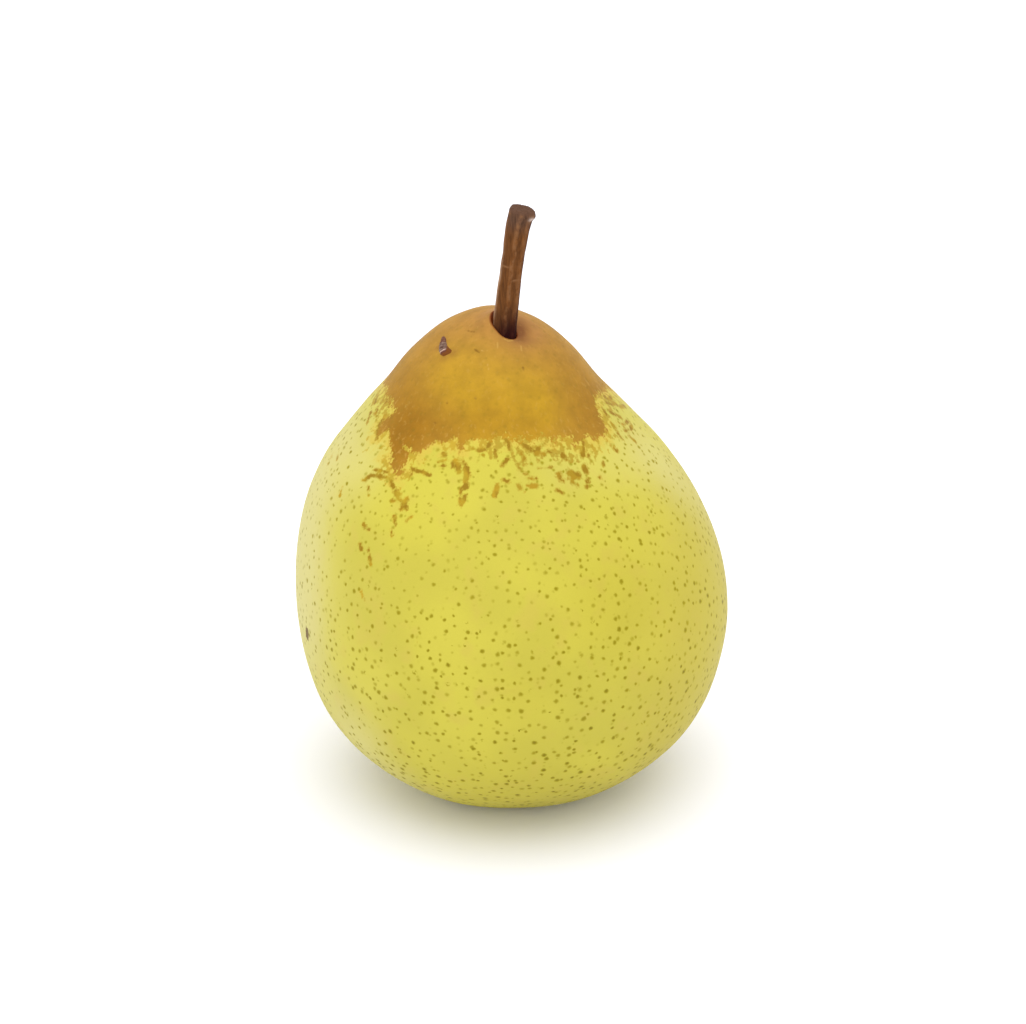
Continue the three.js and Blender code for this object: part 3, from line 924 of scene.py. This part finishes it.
def make_skin_finish():
    material, tree, shader, place = new_finish("pear_skin")
    bent_place = bent(tree, place, 0.8, 0.22)
    strength = read(tree, "pores")
    size = calc(tree, "MULTIPLY_ADD", strength, 0.4, 0.62)
    large = pore_layer(tree, bent_place, PORE_STEP, 0.46, 0.74, size)
    faint = pore_layer(tree, bent_place, FAINT_STEP, 0.38, 0.62, size)
    smudge = pore_layer(tree, bent_place, SMUDGE_STEP, 0.6, 1.0, size)
    faint = calc(tree, "MULTIPLY", faint, fade(tree, read(tree, "shoulder"), 0, 1, 0.4, 0.85))
    pores = calc(tree, "MAXIMUM", large, faint)
    pores = calc(tree, "MAXIMUM", pores, calc(tree, "MULTIPLY", smudge, 0.15))
    pores = calc(tree, "MULTIPLY", pores, strength)
    colour, cap = skin_colour(tree, place, pores)
    # Reddish-brown at the stalk's wall and in the crease: partly the torn skin's own colour, partly painted shade of
    # the socket.
    depth = fade(tree, read(tree, "socket"), 0.0, 0.45, 1, 0)
    colour = blend_colour(tree, depth, colour, seen_colour(140, 72, 34))
    scar = fade(tree, calc(tree, "ADD", read(tree, "scar"), noise(tree, place, 0.4)), 0.35, 0.7)
    colour = blend_colour(tree, scar, colour, seen_colour(126, 100, 0))
    # Painted shade, brownish, in the basin round the eye underneath.
    basin_shade = fade(tree, read(tree, "basin"), 3, 10, 0.75, 0)
    colour = blend_colour(tree, basin_shade, colour, seen_colour(128, 92, 40))
    tree.links.new(colour, shader.inputs["Base Color"])
    rough = fade(tree, cap, 0, 1, 0.52, 0.62)
    tree.links.new(rough, shader.inputs["Roughness"])
    shader.inputs["IOR"].default_value = 1.4
    shader.inputs["Specular IOR Level"].default_value = 0.22
    relief = calc(tree, "MULTIPLY_ADD", noise(tree, place, 0.5, 3, 0.6), 0.04, calc(tree, "MULTIPLY", pores, -0.05))
    relief = calc(tree, "MULTIPLY_ADD", noise(tree, place, 1.6, 3, 0.6), 0.08, relief)
    bump = add(tree, "ShaderNodeBump", {"Height": relief, "Distance": MM, "Strength": 0.6})
    tree.links.new(bump.outputs[0], shader.inputs["Normal"])
    return material


fruit.data.materials.append(make_skin_finish())

# %% [markdown]
# ## The stalk
# The stalk is woody, ridged lengthwise and cut off at a slant, with a swollen lip on the right
# where it broke from the spur. Its surface is a ridged section carried along a slightly bent
# line. Sharper ridges, hollows between them, rough bark and four small cracks are added to the
# plain form, and the cut end gets rings of its own, so that it can be slightly domed and torn.

# %% The stalk's surface
STALK_SIDES, STALK_RINGS, CUT_RINGS = 160, 300, 26
STALK_BEND, STALK_BEND_POWER = 2.1, 1.33
CUT_FROM, CUT_SLOPE, CUT_SWELLING, CUT_DOME = 0.86, math.radians(6.4), 0.38, 0.35
SHARP_RIDGES = ((-88, 9, 0.15), (-156, 9, 0.14), (-38, 12, 0.09), (60, 14, 0.14), (125, 12, 0.1))
CRACKS = ((0.655, -125, 0.1), (0.565, -62, 0.1), (0.5, 40, 0.12), (0.8, 150, 0.12))


def bell(value, middle, width):
    return np.exp(-(((value - middle) / width) ** 2))


def turned_from(angle, middle):
    """The angle from a direction given in degrees, from -180 to 180 degrees."""
    return (np.degrees(angle) - middle + 180) % 360 - 180


def stalk_line(along):
    """The stalk's middle line: straight along its way, bent to the right with a power of the
    height above the skin."""
    above = along * (STALK_SUNK + STALK_LENGTH) - STALK_SUNK
    bend = STALK_BEND * (np.maximum(0, above) / STALK_LENGTH) ** STALK_BEND_POWER
    return STALK_ROOT + above[..., None] * STALK_WAY + bend[..., None] * STALK_ACROSS


def stalk_relief(along, angle, radius):
    """Ridges, cracks and bark, as a height over the plain form."""
    bark = np.stack([radius * np.cos(angle), radius * np.sin(angle), along * 5], -1)
    fibres = soft_noise(bark, 0.42, 41) * 0.045 + soft_noise(bark, 0.2, 42) * 0.02
    lumps = soft_noise(bark * np.array([1, 1, 4.0]), 1.3, 43) * 0.05
    sway = 6 * soft_noise(bark * np.array([0, 0, 3.0]), 1.0, 44)
    ridges = sum(h * bell(turned_from(angle, m) + sway, 0, w) for m, w, h in SHARP_RIDGES)
    cracks = sum(
        d * bell(along, a, 0.006) * bell(turned_from(angle, m), 0, 22) for a, m, d in CRACKS
    )
    return ridges - 0.05 + fibres + lumps - cracks, ridges, cracks


def stalk_point(along, angle, spread, radius):
    """A point of the stalk: out from its line by the radius times spread, and down by the slope
    of the cut near the end."""
    cut = smoothstep(along, CUT_FROM, 1)
    out = radius * spread
    drop = cut * math.tan(CUT_SLOPE) * out * np.cos(angle)
    point = stalk_line(along) + (out * np.cos(angle))[..., None] * STALK_ACROSS
    point = point + (out * np.sin(angle))[..., None] * STALK_BEHIND
    return point - drop[..., None] * STALK_WAY


# %% The stalk's body and cut end
angle = np.arange(STALK_SIDES)[None, :] * 2 * math.pi / STALK_SIDES
along = np.linspace(0, 1, STALK_RINGS + 1)[:, None] + 0 * angle
angle = angle + 0 * along
cut = smoothstep(along, CUT_FROM, 1)
plain = stalk_radius(along, angle) + CUT_SWELLING * cut * np.maximum(0, np.cos(angle)) ** 2
relief, ridges, cracks = stalk_relief(along, angle, plain)
foot_hug = smoothstep(along, SKIN_LEVEL - 0.02, SKIN_LEVEL + 0.06)
lip = 0.3 * bell(along, 0.975, 0.018) * np.maximum(0, np.cos(angle + 0.5)) ** 2
body_radius = plain + relief * (0.35 + 0.65 * foot_hug) + lip
body = stalk_point(along, angle, 1.0, body_radius)

spread = np.linspace(1, 0, CUT_RINGS + 1)[1:-1, None] + 0 * angle[:1]
end_radius = body_radius[-1:] + 0 * spread
end = stalk_point(1 + 0 * spread, angle[:1] + 0 * spread, spread, end_radius)
rim = CUT_DOME * (1 - spread**6) * (0.6 + 0.4 * spread)
torn = soft_noise(end, 0.5, 45) * 0.12 * (1 - spread**4) + soft_noise(end, 0.22, 46) * 0.06
end = end + (rim + torn)[..., None] * STALK_WAY
crown = stalk_line(np.array(1.0)) + CUT_DOME * 0.6 * STALK_WAY

stalk_grid = np.concatenate([body, end])
stalk_points, stalk_faces = closed_surface(stalk_grid, stalk_line(np.array(0.0)), crown)
stalk = make_piece("stalk", stalk_points, stalk_faces)
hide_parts("stem")
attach(stalk, "root")


def with_poles(grid_values, end_values):
    """Values for the whole stalk: those of its body, those of its cut end, and its two poles."""
    inner = np.concatenate([grid_values.ravel(), end_values.ravel()])
    return np.concatenate([inner[:1], inner, inner[-1:]])


# A painted highlight on the left facet near the foot: it is added to the height, so the finish gives the lighter
# colour of higher up there.
lit_facet = 0.08 * bell(turned_from(angle, -135), 0, 26) * (1 - smoothstep(along, 0.35, 0.6))
note(stalk, "height", with_poles(along + lit_facet, 1 + 0 * spread))
note(stalk, "ridges", with_poles(np.clip(ridges / 0.14, 0, 1), 0 * spread))
note(stalk, "cracks", with_poles(np.clip(cracks / 0.1, 0, 1), 0 * spread))
# A painted highlight along the stalk's left edge.
lit_edge = bell(turned_from(angle, -158), 0, 10) * bell(along, 0.52, 0.2)
note(stalk, "edge", with_poles(lit_edge, 0 * spread))
# Painted shade along the stalk's right side, up to the cut.
shaded_side = 0.7 * bell(turned_from(angle, 6), 0, 20) * (1 - smoothstep(along, 0.98, 1))
note(stalk, "shaded_side", with_poles(shaded_side, 0 * spread))
# A painted glint: a small near-white spot on the knob.
knob_glint = bell(turned_from(angle, -36), 0, 9) * bell(along, 0.966, 0.012)
note(stalk, "knob_glint", with_poles(knob_glint, 0 * spread))
note(stalk, "cut", with_poles(smoothstep(along, 0.985, 1), 1 + 0 * spread))

# %% [markdown]
# The wood is dark and reddish at its foot, where painted shade darkens it towards the skin, warm
# brown along its length and greyer at the knob. Worn ridges are lighter, and the hollows between
# ridges are darkened as painted shade. A painted highlight lies on the left facet near the foot and
# along the left edge, painted shade along the right side and a painted glint on the knob. Fibres
# are noise stretched along the stalk.

# %% The stalk's finish
# The foot's colour is reddish wood darkened as painted shade where the stalk sinks into the skin.
FOOT, SHAFT, KNOB, WORN = (52, 24, 12), (120, 76, 42), (108, 78, 60), (150, 106, 70)
LIT_EDGE, CUT_WOOD, KNOB_GLINT, SHADED_SIDE = (196, 164, 134), (110, 80, 64), (228, 206, 192), (84, 56, 42)
WOOD_GLOSS = 0.006


def wood_colour(colour):
    return seen_colour(*colour, WOOD_GLOSS)


def make_stalk_finish():
    material, tree, shader, place = new_finish("stalk_wood")
    height, ridges = read(tree, "height"), read(tree, "ridges")
    fibre = noise(tree, stretched(tree, place, 1, 1, 0.12), 0.3, 4, 0.65)
    # The colour rises from the foot, darkened as painted shade near the skin, to the shaft; the height also carries
    # the left facet's painted highlight.
    rise = fade(tree, height, 0.2, 0.48)
    colour = blend_colour(tree, rise, wood_colour(FOOT), wood_colour(SHAFT))
    colour = blend_colour(tree, fade(tree, height, 0.84, 0.96), colour, wood_colour(KNOB))
    # The fibres vary the tone as grain, and the hollows between ridges are darkened as painted shade.
    grain_and_hollow_shade = fade(tree, fibre, 0.3, 0.7, 0.7, 1.25)
    grain_and_hollow_shade = calc(tree, "MULTIPLY", grain_and_hollow_shade, fade(tree, ridges, 0, 0.5, 0.86, 1.12))
    colour = darkened(tree, colour, grain_and_hollow_shade)
    worn = calc(tree, "MULTIPLY", ridges, fade(tree, noise(tree, place, 1.1, 3), 0.35, 0.6))
    worn = calc(tree, "MULTIPLY", worn, fade(tree, height, 0.25, 0.45, 0.1, 0.75))
    colour = blend_colour(tree, worn, colour, wood_colour(WORN))
    # Painted highlight along the left edge, broken by noise.
    patchy = fade(tree, noise(tree, place, 1.6, 2), 0.35, 0.55, 0.2, 1)
    edge = calc(tree, "MULTIPLY", read(tree, "edge"), patchy)
    colour = blend_colour(tree, edge, colour, wood_colour(LIT_EDGE))
    colour = blend_colour(tree, read(tree, "cracks"), colour, wood_colour(WORN))
    rough_cut = fade(tree, noise(tree, place, 0.5, 3), 0.3, 0.7, 0.3, 0.9)
    cut = calc(tree, "MULTIPLY", read(tree, "cut"), rough_cut)
    colour = blend_colour(tree, cut, colour, wood_colour(CUT_WOOD))
    # Painted shade along the right side.
    colour = blend_colour(tree, read(tree, "shaded_side"), colour, wood_colour(SHADED_SIDE))
    # The painted glint on the knob.
    colour = blend_colour(tree, read(tree, "knob_glint"), colour, wood_colour(KNOB_GLINT))
    tree.links.new(colour, shader.inputs["Base Color"])
    tree.links.new(fade(tree, fibre, 0.3, 0.7, 0.65, 0.8), shader.inputs["Roughness"])
    shader.inputs["Specular IOR Level"].default_value = 0.06
    bump = add(tree, "ShaderNodeBump", {"Height": fibre, "Distance": 0.15 * MM, "Strength": 0.7})
    tree.links.new(bump.outputs[0], shader.inputs["Normal"])
    return material


stalk.data.materials.append(make_stalk_finish())

# %% [markdown]
# ## The withered eye
# Underneath, in the basin, sit the remains of the flower: a small dry cup, whose five sepals have
# curled and torn, with a tuft of dead filaments inside. The cup is one closed surface, whose
# edge hangs lower where a sepal is. The filaments are thin bent tubes rooted in its floor.

# %% The cup with its sepals
EYE_SIDES = 200
SEPALS = ((2.9, 0.35), (1.7, -0.1), (3.2, 0.15), (2.2, 0.5), (2.7, -0.2))
EYE_ROOF, EYE_FLOOR, EYE_WALL = BASIN_TOP + EYE_SUNK, 1.0, 0.75
# Each station: radius, height over the basin's top, share of the sepal's length, of its curl.
CUP = np.array([
    (2.6, 1.6, 0, 0), (3.1, 1.45, 0, 0), (3.25, 1.0, 0, 0), (3.2, 0.4, 0, 0), (3.15, 0, 0.05, 0),
    (3.2, 0, 0.3, 0.2), (3.25, 0, 0.6, 0.5), (3.3, 0, 0.85, 0.8), (3.25, 0, 0.98, 1), (3.12, 0, 1, 1),
    (2.98, 0, 0.9, 0.9), (2.85, 0, 0.65, 0.55), (2.72, 0, 0.35, 0.2), (2.6, 0, 0.1, 0), (2.5, 0.3, 0, 0),
    (2.3, 0.6, 0, 0), (1.7, 0.68, 0, 0), (1.0, 0.7, 0, 0), (0.4, 0.7, 0, 0),
])


def sepal_length(around):
    """The hanging length: a sine hump for each sepal, with a torn edge from noise."""
    turn = around / (2 * math.pi) * len(SEPALS)
    which = np.floor(turn).astype(int) % len(SEPALS)
    hump = np.sin(math.pi * (turn % 1)) ** 0.8
    lengths, curls = np.array(SEPALS).T
    rim = np.stack([np.cos(around), np.sin(around), 0 * around], -1)
    torn = 0.25 * soft_noise(rim, 0.09, 51) + 0.2 * soft_noise(rim, 0.2, 52)
    return 0.5 + hump * (lengths[which] - 0.5 + torn), hump * curls[which]


around = -np.arange(EYE_SIDES)[None, :] * 2 * math.pi / EYE_SIDES
length, curl = sepal_length(around % (2 * math.pi))
cup = CUP[:, :, None]
radius = cup[:, 0] + cup[:, 3] * curl
height = BASIN_TOP + cup[:, 1] - cup[:, 2] * length
place = np.stack([radius * np.cos(around), radius * np.sin(around), height + 0 * around], -1)
crumple = 0.12 * soft_noise(place, 0.9, 53) + 0.05 * soft_noise(place, 0.35, 54)
pull = smoothstep(cup[:, 2] + 0 * around, 0, 0.3)
place[..., :2] *= (1 + (0.3 + 0.7 * pull) * crumple * 0.6)[..., None]
place[..., 2] += 0.5 * crumple * pull
roof, floor = np.array([0, 0, BASIN_TOP + 1.65]), np.array([0, 0, BASIN_TOP + 0.7])
cup_points, cup_faces = closed_surface(place, roof, floor)

# %% The dead filaments
FILAMENTS, FILAMENT_SIDES, FILAMENT_RINGS = 16, 7, 12
random = np.random.default_rng(9)


def filament(root, tip, bow, thickness):
    """A tube along a bowed line: the straight way from root to tip plus bow times a sine."""
    share = np.linspace(0, 1, FILAMENT_RINGS)
    line = root + share[:, None] * (tip - root) + np.sin(math.pi * share)[:, None] * bow
    turn = np.arange(FILAMENT_SIDES) * 2 * math.pi / FILAMENT_SIDES
    width = thickness * (1 - 0.5 * share + 0.9 * bell(share, 1, 0.08))
    circle = np.stack([np.cos(turn), -np.sin(turn), 0 * turn], -1)
    grid = line[:, None] + width[:, None, None] * circle
    return closed_surface(grid, line[0], line[-1] - np.array([0, 0, thickness * 0.6]))


eye_points, eye_faces = [cup_points], list(cup_faces)
count = len(cup_points)
for i in range(FILAMENTS):
    turn = i * 2.4 + random.uniform(-0.3, 0.3)
    way = np.array([math.cos(turn), math.sin(turn), 0])
    reach = 0.5 + 1.5 * math.sqrt((i + 0.5) / FILAMENTS)
    root = way * reach + np.array([0, 0, BASIN_TOP + 0.9])
    tip = way * reach * random.uniform(0.3, 1.15) + np.array([0, 0, BASIN_TOP - random.uniform(0.6, 2)])
    tube, faces = filament(root, tip, random.uniform(-0.35, 0.35, 3), random.uniform(0.09, 0.14))
    eye_points.append(tube)
    eye_faces += [[corner + count for corner in face] for face in faces]
    count += len(tube)
eye = make_piece("withered_eye", np.concatenate(eye_points), eye_faces)
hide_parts("calyx")
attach(eye, "root")


# %% The eye's finish
def make_eye_finish():
    material, tree, shader, place = new_finish("withered_eye")
    lumps = noise(tree, place, 0.7, 4, 0.65)
    colour = blend_colour(tree, fade(tree, lumps, 0.3, 0.7), seen_colour(58, 40, 26), seen_colour(122, 92, 60))
    colour = blend_colour(tree, fade(tree, noise(tree, place, 0.25, 2), 0.55, 0.75), colour, seen_colour(150, 122, 84))
    tree.links.new(colour, shader.inputs["Base Color"])
    tree.links.new(fade(tree, lumps, 0.3, 0.7, 0.75, 0.95), shader.inputs["Roughness"])
    bump = add(tree, "ShaderNodeBump", {"Height": lumps, "Distance": 0.2 * MM, "Strength": 0.8})
    tree.links.new(bump.outputs[0], shader.inputs["Normal"])
    return material


eye.data.materials.append(make_eye_finish())

# %% [markdown]
# ## A scab on the shoulder
# A small wound on the shoulder has healed into a raised crust, shaped like a comma: narrow at the
# top, broad below, with a raised fold across its foot whose crest carries a painted highlight. It
# is a closed lens sunk in the skin, laid out in the plane that touches the skin there.

# %% The scab's surface
SCAB_LINE = ((442.5, 335), (442.5, 340), (442, 345), (443.5, 349.5), (446, 352.5), (448.5, 353.5))
SCAB_SIDES, SCAB_RINGS = 96, 32
scab_middle = on_skin([(444.5, 347)])[0]
nearest = seen[((seen_pixels - (444.5, 347)) ** 2).sum(-1).argmin()]
scab_normal = skin_normals[nearest]
scab_right = unit(np.cross(CAMERA_UP, scab_normal))
scab_up = np.cross(scab_normal, scab_right)


def on_plane(pixels):
    """Where the rays of pixels cut the plane that touches the skin at the scab, as millimetres
    to the right and up from its middle."""
    offset = (np.asarray(pixels) - PICTURE / 2) / FOCAL
    ray = offset[:, :1] * np.array([1, 0, 0]) - offset[:, 1:] * CAMERA_UP - TO_CAMERA
    reach = ((scab_middle - CAMERA_AT) @ scab_normal) / (ray @ scab_normal)
    point = CAMERA_AT + reach[:, None] * ray - scab_middle
    return np.stack([point @ scab_right, point @ scab_up], -1)


SCAB_EDGE = (
    (443.5, 335.5), (441.3, 336.5), (440.7, 340), (439.5, 343), (438.8, 347), (438.6, 351),
    (440.6, 355), (443.5, 356), (447, 354.5), (450.5, 352.5), (451.6, 350.3), (449, 347.5),
    (447.3, 345.5), (446.3, 342), (445.6, 338),
)
edge = on_plane(SCAB_EDGE)
wrapped = np.concatenate([edge, edge[:1]])
edge_steps = np.linspace(0, len(edge), SCAB_SIDES, endpoint=False)
edge_x = np.interp(edge_steps, np.arange(len(wrapped)), wrapped[:, 0])
edge_y = np.interp(edge_steps, np.arange(len(wrapped)), wrapped[:, 1])
heart = on_plane([(444, 348)])[0]

spread = np.sin(np.linspace(0.04, 1, SCAB_RINGS) * math.pi / 2)[:, None]
flat_x, flat_y = heart[0] + spread * (edge_x - heart[0]), heart[1] + spread * (edge_y - heart[1])
flat = np.stack([flat_x, flat_y, 0 * flat_x], -1)
fold_line = on_plane([(439.5, 353.6), (450.5, 348.8)])
fold_length = np.linalg.norm(fold_line[1] - fold_line[0])
fold_way = unit(fold_line[1] - fold_line[0])
from_left, from_below = flat_x - fold_line[0, 0], flat_y - fold_line[0, 1]
past_fold = from_below * fold_way[0] - from_left * fold_way[1]
along_fold = (from_left * fold_way[0] + from_below * fold_way[1]) / fold_length
WRINKLE = 0.55
wrinkles = np.sin(2 * math.pi * (past_fold + 0.25 * soft_noise(flat, 0.8, 62)) / WRINKLE)
wrinkles = wrinkles * smoothstep(past_fold, 0.05, 0.4)
crust = 0.34 * (1 - spread**5) + 0.1 * soft_noise(flat, 0.45, 61) * (1 - spread**4)
crust = crust + 0.2 * bell(past_fold, 0, 0.16) * (1 - spread**8) - 0.1 * bell(past_fold, 0.3, 0.15)
crust = crust + 0.05 * wrinkles * (1 - spread**6)
sag = -(flat_x**2 + flat_y**2) / 60


def lens_sheet(lift):
    return (
        scab_middle - SHIFT + flat_x[..., None] * scab_right + flat_y[..., None] * scab_up
        + (sag + lift)[..., None] * scab_normal
    )


SCAB_ROOT = 0.3
upper_sheet, lower_sheet = lens_sheet(crust - 0.04), lens_sheet(0 * crust - SCAB_ROOT)
scab_grid = np.concatenate([lower_sheet, upper_sheet[::-1]])
# The outline runs anticlockwise as seen from outside, and so do the rings from root to crust.
scab_points, scab_faces = closed_surface(
    scab_grid, lower_sheet[0].mean(0), upper_sheet[0].mean(0)
)
scab = make_piece("scab", scab_points, scab_faces)
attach(scab, "root")


def note_crust(name, values):
    """A number for the crust's upper sheet, and 0 for the rest of the scab."""
    sheets = np.concatenate([0 * values, values[::-1]]).ravel()
    note(scab, name, np.concatenate([[0], sheets, [values.mean()]]))


# A painted highlight along the crest of the fold.
note_crust("fold_glint", bell(past_fold, 0, 0.13) * (1 - smoothstep(along_fold, 0.55, 0.85)))
note_crust("wrinkles", 0.5 + 0.5 * wrinkles)
note_crust("below", smoothstep(-past_fold, -0.02, 0.12))
note_crust("rust", smoothstep(-past_fold, 0.2, 0.55) + smoothstep(along_fold, 0.6, 0.8))
note_crust("tip", smoothstep(past_fold, 1.5, 2.6))


# %% The scab's finish
CRUST_PALE, CRUST_DARK, CRUST_TIP = (166, 138, 120), (100, 70, 60), (120, 74, 56)
CRUST_UNDER, CRUST_RUST, CRUST_GLINT = (112, 68, 56), (130, 76, 8), (240, 204, 184)
CRUST_GLOSS = 0.01


def make_scab_finish():
    material, tree, shader, place = new_finish("scab_crust")
    lumps = noise(tree, place, 0.5, 4, 0.6)
    share = calc(tree, "MULTIPLY_ADD", read(tree, "wrinkles"), 0.55, fade(tree, lumps, 0.3, 0.7, -0.2, 0.5))
    colours = CRUST_PALE, CRUST_DARK, CRUST_TIP, CRUST_UNDER, CRUST_RUST, CRUST_GLINT
    pale, dark, tip, under, rust, fold_glint = (seen_colour(*colour, CRUST_GLOSS) for colour in colours)
    colour = blend_colour(tree, share, dark, pale)
    layers = (("tip", tip, 0.8), ("below", under, 1), ("rust", rust, 0.9), ("fold_glint", fold_glint, 0.95))
    for name, layer, most in layers:
        colour = blend_colour(tree, fade(tree, read(tree, name), 0, 1, 0, most), colour, layer)
    tree.links.new(colour, shader.inputs["Base Color"])
    tree.links.new(fade(tree, lumps, 0.3, 0.7, 0.55, 0.75), shader.inputs["Roughness"])
    shader.inputs["Specular IOR Level"].default_value = 0.15
    bump = add(tree, "ShaderNodeBump", {"Height": lumps, "Distance": 0.15 * MM, "Strength": 0.8})
    tree.links.new(bump.outputs[0], shader.inputs["Normal"])
    return material


scab.data.materials.append(make_scab_finish())

# %% [markdown]
# ## Floor and light
# The pear stands on a plain white floor under a white sky that lights it evenly, as a product
# photograph is lit in a white tent. One large soft light hangs straight above and gives the form
# its slight change of tone, and a weaker one low at the front left lifts the shade there. The
# colours go to the picture as they are, without a film curve, so that the floor is pure white.

# %% Floor
FLOOR_HALF = 3000.0
corners = FLOOR_HALF * np.array([(-1, -1, 0), (1, -1, 0), (1, 1, 0), (-1, 1, 0)])
floor_mesh = bpy.data.meshes.new("floor")
floor_mesh.from_pydata((corners * MM).tolist(), [], [(0, 1, 2, 3)])
floor = bpy.data.objects.new("floor", floor_mesh)
bpy.context.scene.collection.objects.link(floor)
floor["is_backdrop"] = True
material, tree, shader, place = new_finish("white_floor")
shader.inputs["Base Color"].default_value = (0.93, 0.935, 0.995, 1)
shader.inputs["Roughness"].default_value = 1
shader.inputs["Specular IOR Level"].default_value = 0
floor_mesh.materials.append(material)

# %% Light
SKY = 1.1
world = bpy.data.worlds.new("white_tent")
world.use_nodes = True
world.node_tree.nodes["Background"].inputs["Color"].default_value = (1, 1, 1, 1)
world.node_tree.nodes["Background"].inputs["Strength"].default_value = SKY
bpy.context.scene.world = world

LAMPS = (
    ("key", np.array([40.0, -100, 1000]), 1.5, 6.0),
    ("fill", np.array([-600.0, -900, 130]), 1.0, 2.0),
)


def hang_lamp(name, at, size, power):
    """A round soft light that faces the pear: its tilt is the angle from straight above, and
    its turn the compass angle of its place."""
    lamp = bpy.data.lights.new(name, "AREA")
    lamp.shape, lamp.size, lamp.energy = "DISK", size, power
    hung = bpy.data.objects.new(name, lamp)
    hung.location = at * MM
    away = at - AIM
    tilt, turn = math.atan2(math.hypot(away[0], away[1]), away[2]), math.atan2(away[0], -away[1])
    hung.rotation_euler = (tilt, 0, turn)
    bpy.context.scene.collection.objects.link(hung)


for lamp in LAMPS:
    hang_lamp(*lamp)
bpy.context.scene.view_settings.view_transform = "Standard"
bpy.context.scene.view_settings.look = "None"

# %% The dressed pear's box
low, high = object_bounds()
print("the dressed pear's box:", [list(low), list(high)])
